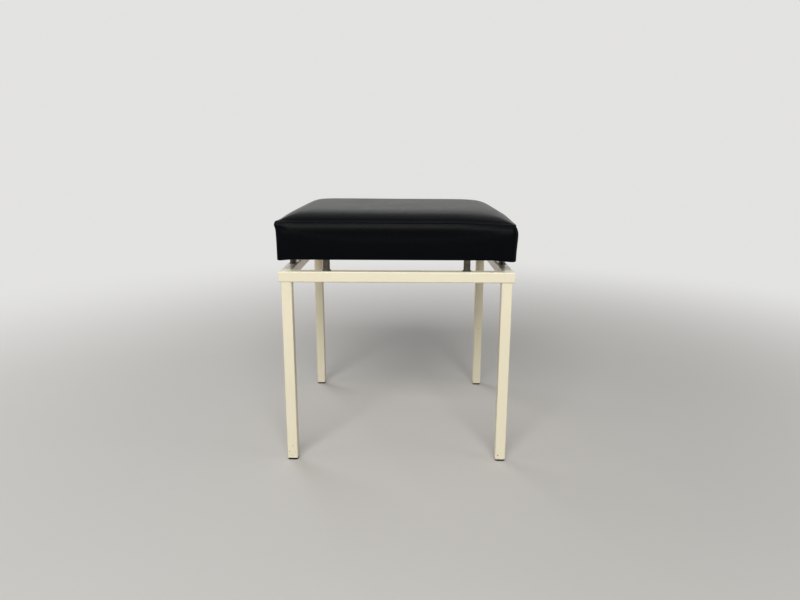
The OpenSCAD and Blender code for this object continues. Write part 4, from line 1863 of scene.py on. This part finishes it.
    def foot(self, node: str, material: Material) -> None:
        """Makes one foot: a rounded pad below the tube, and a ribbed plug inside it.

        Args:
            node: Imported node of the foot.
            material: Its finish.
        """
        low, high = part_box(node)
        half = (high.x - low.x) / 2
        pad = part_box(node.replace("foot", "leg"))[0].z
        cut = self.foot_cut
        levels = []
        for height, inset in quarter_arc(self.foot_round, self.foot_steps):
            levels.append((height, half - inset, self.tube_round - 0.5 * inset))
        levels += [(pad - cut, half, self.tube_round), (pad, half - cut, self.tube_round)]
        levels.append((pad, self.plug_half, cut))
        gap = (high.z - pad - self.ribs * self.rib_height) / (self.ribs + 1)
        for rib in range(self.ribs):
            start = pad + gap + rib * (self.rib_height + gap)
            end = start + self.rib_height
            levels += [(start, self.plug_half, cut), (start + cut, self.rib_half, 2 * cut)]
            levels += [(end - cut, self.rib_half, 2 * cut), (end, self.plug_half, cut)]
        levels += [(high.z - cut, self.plug_half, cut), (high.z, self.plug_half - cut, cut)]
        mesh = lofted(node + "_insert", levels)
        mesh.transform(Matrix.Translation(((low.x + high.x) / 2, (low.y + high.y) / 2, 0.0)))
        shade_by_angle(mesh)
        piece = make_piece(node + "_insert", mesh, material, Slot.PLASTIC)
        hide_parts(node)


@dataclass
class Hardware:
    """Spacers, washers, bolts and staples.

    Attributes:
        hole_radius: Radius of the hole in a washer or spacer.
        head_round: Radius of the edge of a bolt's head, and cut of its tip.
        bolt_turn: Turn of each bolt against the one before, in radians.
        axis_merge: Distance at which the points on a bolt's axis become one.
        edge_cut: Width of the broken edges of washers and spacers.
        staple_round: Rounding of a staple's wire as a share of its width.
    """

    bolt_radius: float = 3 * MM
    hole_radius: float = 3.3 * MM
    head_round: float = 0.5 * MM
    head_steps: int = 4
    slot_width: float = 1.6 * MM
    slot_depth: float = 1.8 * MM
    bolt_turn: float = 0.35
    axis_merge: float = 0.001 * MM
    edge_cut: float = 0.3 * MM
    staple_round: float = 0.22
    spacer_places: tuple[tuple[str, str], ...] = (
        *((rail, side) for rail in ("front", "back") for side in ("left", "right")),
        *((rail, side) for rail in ("left", "right") for side in ("front", "back")),
    )

    def build(self, finishes: dict[Slot, Material]) -> None:
        """Dresses the hardware.

        Args:
            finishes: Material of each slot.
        """
        for rail, side in self.spacer_places:
            node = f"{rail}_rail_{side}_spacer"
            self.rings(node, node + "_sleeve", finishes[Slot.SPACER], Slot.SPACER)
        for node in ("spacer_washers", "bolt_washers"):
            self.rings(node, node + "_rings", finishes[Slot.WASHER], Slot.WASHER)
        self.bolts(finishes[Slot.BOLT])
        self.staples(finishes[Slot.STAPLE])

    @staticmethod
    def lathed(name: str, section: list[tuple[float, float]], steps: int = 48) -> Mesh:
        """Turns a closed section about Z.

        Args:
            name: Name of the mesh.
            section: Radius and height of each corner, anticlockwise in the radius and height plane.
            steps: Steps round the turn.

        Returns:
            The mesh.
        """
        points = []
        faces = []
        count = len(section)
        for i in range(steps):
            angle = 2.0 * math.pi * i / steps
            points += [(r * math.cos(angle), r * math.sin(angle), z) for r, z in section]
            for k in range(count):
                a = i * count + k
                b = i * count + (k + 1) % count
                c = (i + 1) % steps * count + (k + 1) % count
                d = (i + 1) % steps * count + k
                faces.append((a, d, c, b))
        return mesh_from(name, np.array(points), faces)

    def rings(self, node: str, name: str, material: Material, slot: Slot) -> None:
        """Makes the round tubes or washers of one node, with their edges broken.

        Args:
            node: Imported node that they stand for.
            name: Name of the piece.
            material: Their finish.
            slot: The record's slot of that finish.
        """
        boxes = solids_of(node)
        low, high = boxes[0]
        outer = (high.x - low.x) / 2
        height = high.z - low.z
        inner = self.hole_radius
        cut = self.edge_cut
        section = [(inner, cut), (inner + cut, 0.0), (outer - cut, 0.0), (outer, cut)]
        section += [(radius, height - level) for radius, level in reversed(section)]
        unit = self.lathed(name + "_unit", section)
        mesh = Repeater(unit, material).mesh(name, undersides(boxes), [0.0] * len(boxes))
        shade_by_angle(mesh)
        piece = make_piece(name, mesh, material, slot)
        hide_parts(node)

    def bolts(self, material: Material) -> None:
        """Makes the slotted bolts: rounded cheese heads with a slot, and shanks with a pointed end.

        Args:
            material: Their finish.
        """
        boxes = solids_of("seat_bolts")
        low, high = boxes[0]
        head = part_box("bolt_washers")[0].z - low.z
        outer = (high.x - low.x) / 2
        length = high.z - low.z
        cut = self.head_round
        section = [(0.0, 0.0)]
        section += [(outer - inset, height) for height, inset in quarter_arc(cut, self.head_steps)]
        section += [(outer, head), (self.bolt_radius, head), (self.bolt_radius, length - cut)]
        section += [(self.bolt_radius - cut, length), (0.0, length)]
        body = linked("seat_bolt_body", self.lathed("seat_bolt_body", section))
        with opened(body.data) as work:
            bmesh.ops.remove_doubles(work, verts=work.verts, dist=self.axis_merge)
            bmesh.ops.recalc_face_normals(work, faces=work.faces)
        slot_mesh = bpy.data.meshes.new("seat_bolt_slot")
        size = Matrix.Diagonal((self.slot_width, 4 * outer, 2 * self.slot_depth, 1.0))
        with opened(slot_mesh) as work:
            bmesh.ops.create_cube(work, size=1.0, matrix=size)
        cutter = linked("seat_bolt_slot", slot_mesh)
        slotting = body.modifiers.new("slot", "BOOLEAN")
        slotting.operation = "DIFFERENCE"
        slotting.object = cutter
        unit = baked(body)
        for each in (body, cutter):
            bpy.data.objects.remove(each)
        turns = [self.bolt_turn * i for i in range(len(boxes))]
        mesh = Repeater(unit, material).mesh("slotted_seat_bolts", undersides(boxes), turns)
        shade_by_angle(mesh)
        piece = make_piece("slotted_seat_bolts", mesh, material, Slot.BOLT)
        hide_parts("seat_bolts")

    def staples(self, material: Material) -> None:
        """Makes the hem's staples of flattened round wire.

        Args:
            material: Their finish.
        """
        boxes = solids_of("hem_staples")
        low, high = boxes[0]
        width = max(high.x - low.x, high.y - low.y)
        wire = min(high.x - low.x, high.y - low.y)
        leg = high.z - low.z
        leg_middle = wire + (leg - wire) / 2
        bars = (
            ((width, wire, wire), (0.0, 0.0, wire / 2)),
            ((wire, wire, leg - wire), (width / 2 - wire / 2, 0.0, leg_middle)),
            ((wire, wire, leg - wire), (wire / 2 - width / 2, 0.0, leg_middle)),
        )
        unit = bpy.data.meshes.new("hem_staple_unit")
        with opened(unit) as work:
            for size, at in bars:
                place = Matrix.Translation(at) @ Matrix.Diagonal((*size, 1.0))
                bmesh.ops.create_cube(work, size=1.0, matrix=place)
            offset = self.staple_round * wire
            bmesh.ops.bevel(work, geom=list(work.edges), offset=offset, segments=2, affect="EDGES")
        turns = [0.0 if (b.x - a.x) > (b.y - a.y) else math.pi / 2 for a, b in boxes]
        mesh = Repeater(unit, material).mesh("hem_staples", undersides(boxes), turns)
        piece = make_piece("hem_staple_row", mesh, material, Slot.STAPLE)
        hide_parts("hem_staples")


@dataclass(frozen=True)
class Lamp:
    """One soft rectangular lamp: its name, place, size, power in watts and colour."""

    name: str
    place: Point
    width: float
    height: float
    power: float
    colour: Colour

    def hang(self, aim: Vector) -> None:
        """Hangs the lamp.

        Args:
            aim: Point that it shines at.
        """
        data = bpy.data.lights.new(self.name, "AREA")
        data.shape = "RECTANGLE"
        data.size = self.width
        data.size_y = self.height
        data.energy = self.power
        data.color = self.colour
        lamp = linked(self.name, data)
        lamp.location = self.place
        way = aim - Vector(self.place)
        lamp.rotation_euler = way.to_track_quat("-Z", "Y").to_euler()


@dataclass
class Studio:
    """Floor, lamps, background and the camera at the photo's place.

    Attributes:
        focal_pixels: Focal length of the photo in its own pixels.
        nearest: Nearest distance that the camera shows.
        yaw: Turn of the camera to the right, in radians, as pitch and roll are.
        pitch: Its tilt downward.
        paleness: Brightness of the background to the camera.
        back_in_gloss: Brightness of the background behind the stool in reflections.
        front_in_gloss: The same before the stool.
        overhead_in_gloss: Share of it that is left overhead.
        gloss_depth: Depths of a direction between which reflections change from front to back.
        gloss_height: Heights of a direction between which they change from low to overhead.
        fill: Brightness of the world as diffuse light.
        floor_bounce: Colour of the floor as diffuse light meets it: a brown wooden one's.
        floor_clouds: Clouds of the floor for each metre.
        fade_start: Distance at which the floor begins to fade into the background.
        fade_end: Distance at which it has done so.
        aim: Point that the lamps shine at.
    """

    focal_pixels: float = 622.0
    image_width: float = 800.0
    sensor: float = 36.0
    nearest: float = 0.05
    eye: Point = (0.01627, -1.26932, 0.55055)
    yaw: float = -0.0096
    pitch: float = 0.2264
    roll: float = 0.003
    background: Colour = (0.985, 0.98, 0.965)
    paleness: float = 0.78
    back_in_gloss: float = 1.0
    front_in_gloss: float = 0.08
    overhead_in_gloss: float = 0.48
    gloss_depth: tuple[float, float] = (-0.5, 0.6)
    gloss_height: tuple[float, float] = (0.18, 0.52)
    fill: float = 0.18
    floor_colour: Colour = (0.58, 0.57, 0.555)
    floor_shade: Colour = (0.60, 0.59, 0.575)
    floor_bounce: Colour = (0.27, 0.21, 0.14)
    floor_clouds: float = 3.0
    floor_roughness: float = 0.75
    floor_specular: float = 0.15
    floor_half: float = 12.0
    fade_start: float = 0.5
    fade_end: float = 2.2
    aim: Point = (0.0, 0.0, 0.25)
    lamps: tuple[Lamp, ...] = (
        Lamp("key_lamp", (-0.3, -3.5, 2.6), 3.2, 1.9, 162.0, (1.0, 0.985, 0.955)),
        Lamp("right_lamp", (2.5, -1.0, 1.3), 1.2, 1.2, 8.0, (1.0, 0.985, 0.96)),
        Lamp("left_lamp", (-2.5, -0.9, 1.4), 1.2, 1.2, 5.0, (1.0, 0.985, 0.96)),
        Lamp("back_lamp", (-2.0, 2.1, 1.4), 1.8, 1.2, 32.0, (0.97, 0.985, 1.0)),
    )

    def camera(self) -> None:
        """Puts the camera where the photo was taken from."""
        data = bpy.data.cameras.new("camera")
        data.sensor_width = self.sensor
        data.lens = self.focal_pixels / self.image_width * self.sensor
        data.clip_start = self.nearest
        camera = linked("camera", data)
        ahead = Vector((
            math.sin(self.yaw) * math.cos(self.pitch),
            math.cos(self.yaw) * math.cos(self.pitch),
            -math.sin(self.pitch),
        ))
        level = Vector((math.cos(self.yaw), -math.sin(self.yaw), 0.0))
        upright = level.cross(ahead)
        right = level * math.cos(self.roll) + upright * math.sin(self.roll)
        up = upright * math.cos(self.roll) - level * math.sin(self.roll)
        turn = Matrix((right, up, -ahead)).transposed()
        camera.matrix_world = Matrix.Translation(self.eye) @ turn.to_4x4()
        bpy.context.scene.camera = camera

    @staticmethod
    def background_share(wiring: Wiring) -> Socket:
        """Works out whether a ray should see the pale background: camera, mirror and glass rays do.

        Args:
            wiring: Wiring of the material or the world.

        Returns:
            A share of 1 for such rays and 0 for the others.
        """
        rays = wiring.add("ShaderNodeLightPath").outputs
        shiny = wiring.math("MAXIMUM", rays["Is Glossy Ray"], rays["Is Transmission Ray"])
        return wiring.math("MAXIMUM", rays["Is Camera Ray"], shiny)

    def world(self) -> None:
        """Sets the world: pale to the camera, dim as light, and palest low behind in reflections."""
        world = bpy.data.worlds.new("studio")
        bpy.context.scene.world = world
        world.use_nodes = True
        wiring = Wiring(world.node_tree)
        direction = wiring.add("ShaderNodeTexCoord").outputs["Generated"]
        parts = wiring.add("ShaderNodeSeparateXYZ", {0: direction}).outputs
        backward = wiring.span(parts["Y"], *self.gloss_depth, 0.0, 1.0)
        low = wiring.span(parts["Z"], *self.gloss_height, 1.0, self.overhead_in_gloss)
        reach = self.back_in_gloss - self.front_in_gloss
        mirrored = wiring.times(wiring.times(backward, low), reach)
        mirrored = wiring.plus(mirrored, self.front_in_gloss)
        camera_ray = wiring.add("ShaderNodeLightPath").outputs["Is Camera Ray"]
        shared = self.background_share(wiring)
        seen = wiring.times(camera_ray, self.paleness)
        in_gloss = wiring.times(wiring.minus(shared, camera_ray), mirrored)
        diffuse = wiring.times(wiring.minus(1.0, shared), self.fill)
        strength = wiring.plus(wiring.plus(seen, in_gloss), diffuse)
        back = world.node_tree.nodes["Background"]
        wiring.feed(back.inputs["Color"], rgba(self.background))
        wiring.feed(back.inputs["Strength"], strength)

    def floor(self) -> None:
        """Lays the plain pale floor, which fades into the background and hides nothing from below."""
        half = self.floor_half
        corners = np.array([(-half, -half, 0), (half, -half, 0), (half, half, 0), (-half, half, 0)])
        mesh = mesh_from("floor", corners, [(0, 1, 2, 3)], False)
        floor = linked("floor", mesh)
        surface = Surface("floor")
        wiring = surface.wiring
        tone = wiring.noise(surface.place, self.floor_clouds)
        shown = wiring.blend(tone, self.floor_colour, self.floor_shade)
        in_view = self.background_share(wiring)
        surface.put("Base Color", wiring.blend(in_view, self.floor_bounce, shown))
        surface.put("Roughness", self.floor_roughness)
        surface.put("Specular IOR Level", self.floor_specular)
        away = wiring.add("ShaderNodeVectorMath", {0: surface.place}, operation="LENGTH")
        fade = wiring.span(away.outputs["Value"], self.fade_start, self.fade_end, 0.0, 1.0)
        tint = {"Color": rgba(self.background), "Strength": self.paleness}
        far = wiring.add("ShaderNodeEmission", tint)
        sides = {0: wiring.times(fade, in_view), 1: surface.shader.outputs[0], 2: far.outputs[0]}
        near_or_far = wiring.add("ShaderNodeMixShader", sides)
        below = wiring.add("ShaderNodeNewGeometry").outputs["Backfacing"]
        clear = wiring.add("ShaderNodeBsdfTransparent")
        sides = {0: below, 1: near_or_far.outputs[0], 2: clear.outputs[0]}
        from_below = wiring.add("ShaderNodeMixShader", sides)
        output = surface.material.node_tree.nodes["Material Output"]
        wiring.feed(output.inputs["Surface"], from_below.outputs[0])
        mesh.materials.append(surface.material)

    def build(self) -> None:
        """Sets up the whole studio."""
        self.camera()
        for lamp in self.lamps:
            lamp.hang(Vector(self.aim))
        self.world()
        self.floor()
        bpy.context.scene.view_settings.view_transform = "Standard"


def finishes() -> dict[Slot, Material]:
    """Makes the material of each slot.

    Returns:
        The materials by slot.
    """
    makers = {
        Slot.ENAMEL: Enamel(),
        Slot.PLASTIC: BlackPlastic(),
        # Painted shade: the spacer steel's colour and stain are darkened well below the other steels to
        # stand in for the shade under the seat.
        Slot.SPACER: Steel(
            Slot.SPACER.value, colour=(0.11, 0.10, 0.078), stain=(0.062, 0.052, 0.037), roughness=0.2,
            line_scale=1600.0, line_stretch=0.02,
        ),
        Slot.WASHER: Steel(
            Slot.WASHER.value, colour=(0.34, 0.34, 0.34), stain=(0.14, 0.13, 0.11), roughness=0.34
        ),
        Slot.BOLT: Steel(
            Slot.BOLT.value, colour=(0.46, 0.46, 0.47), stain=(0.26, 0.24, 0.20), roughness=0.3
        ),
        Slot.INSERT: Steel(
            Slot.INSERT.value, colour=(0.52, 0.48, 0.36), stain=(0.34, 0.28, 0.16), roughness=0.32
        ),
        Slot.PLYWOOD: Plywood(),
        Slot.FOAM: Foam(),
        Slot.LEATHERETTE: Leatherette(),
        Slot.STAPLE: Steel(
            Slot.STAPLE.value, colour=(0.6, 0.6, 0.59), stain=(0.4, 0.39, 0.36), roughness=0.28
        ),
    }
    return {slot: maker.material() for slot, maker in makers.items()}


def dress_nodes(materials: dict[Slot, Material]) -> None:
    """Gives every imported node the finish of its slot.

    Args:
        materials: Material of each slot.
    """
    for entry in FRAME["record"]["subparts"]:
        node = FRAME["nodes"][entry["node"]]
        material = materials[Slot(entry["material_slot"])]
        for slot in node.material_slots:
            slot.material = material
        LOG.info("%s dressed in %s", entry["node"], material.name)


def main() -> None:
    """Dresses the stool and sets up the studio."""
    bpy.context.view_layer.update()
    materials = finishes()
    dress_nodes(materials)
    Studio().build()
    Cushion().build(materials[Slot.LEATHERETTE], materials[Slot.FOAM], Thread().material())
    FrameDetails().build(materials)
    Hardware().build(materials)


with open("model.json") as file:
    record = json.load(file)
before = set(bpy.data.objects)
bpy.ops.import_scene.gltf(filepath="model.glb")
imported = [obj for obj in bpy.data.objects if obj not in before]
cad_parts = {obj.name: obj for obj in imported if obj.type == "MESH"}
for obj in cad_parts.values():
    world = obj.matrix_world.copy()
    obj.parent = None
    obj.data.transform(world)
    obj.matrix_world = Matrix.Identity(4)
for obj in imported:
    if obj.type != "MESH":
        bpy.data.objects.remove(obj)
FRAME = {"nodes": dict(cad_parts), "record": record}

if __name__ == "__main__":
    logging.basicConfig(level=logging.INFO)
    main()
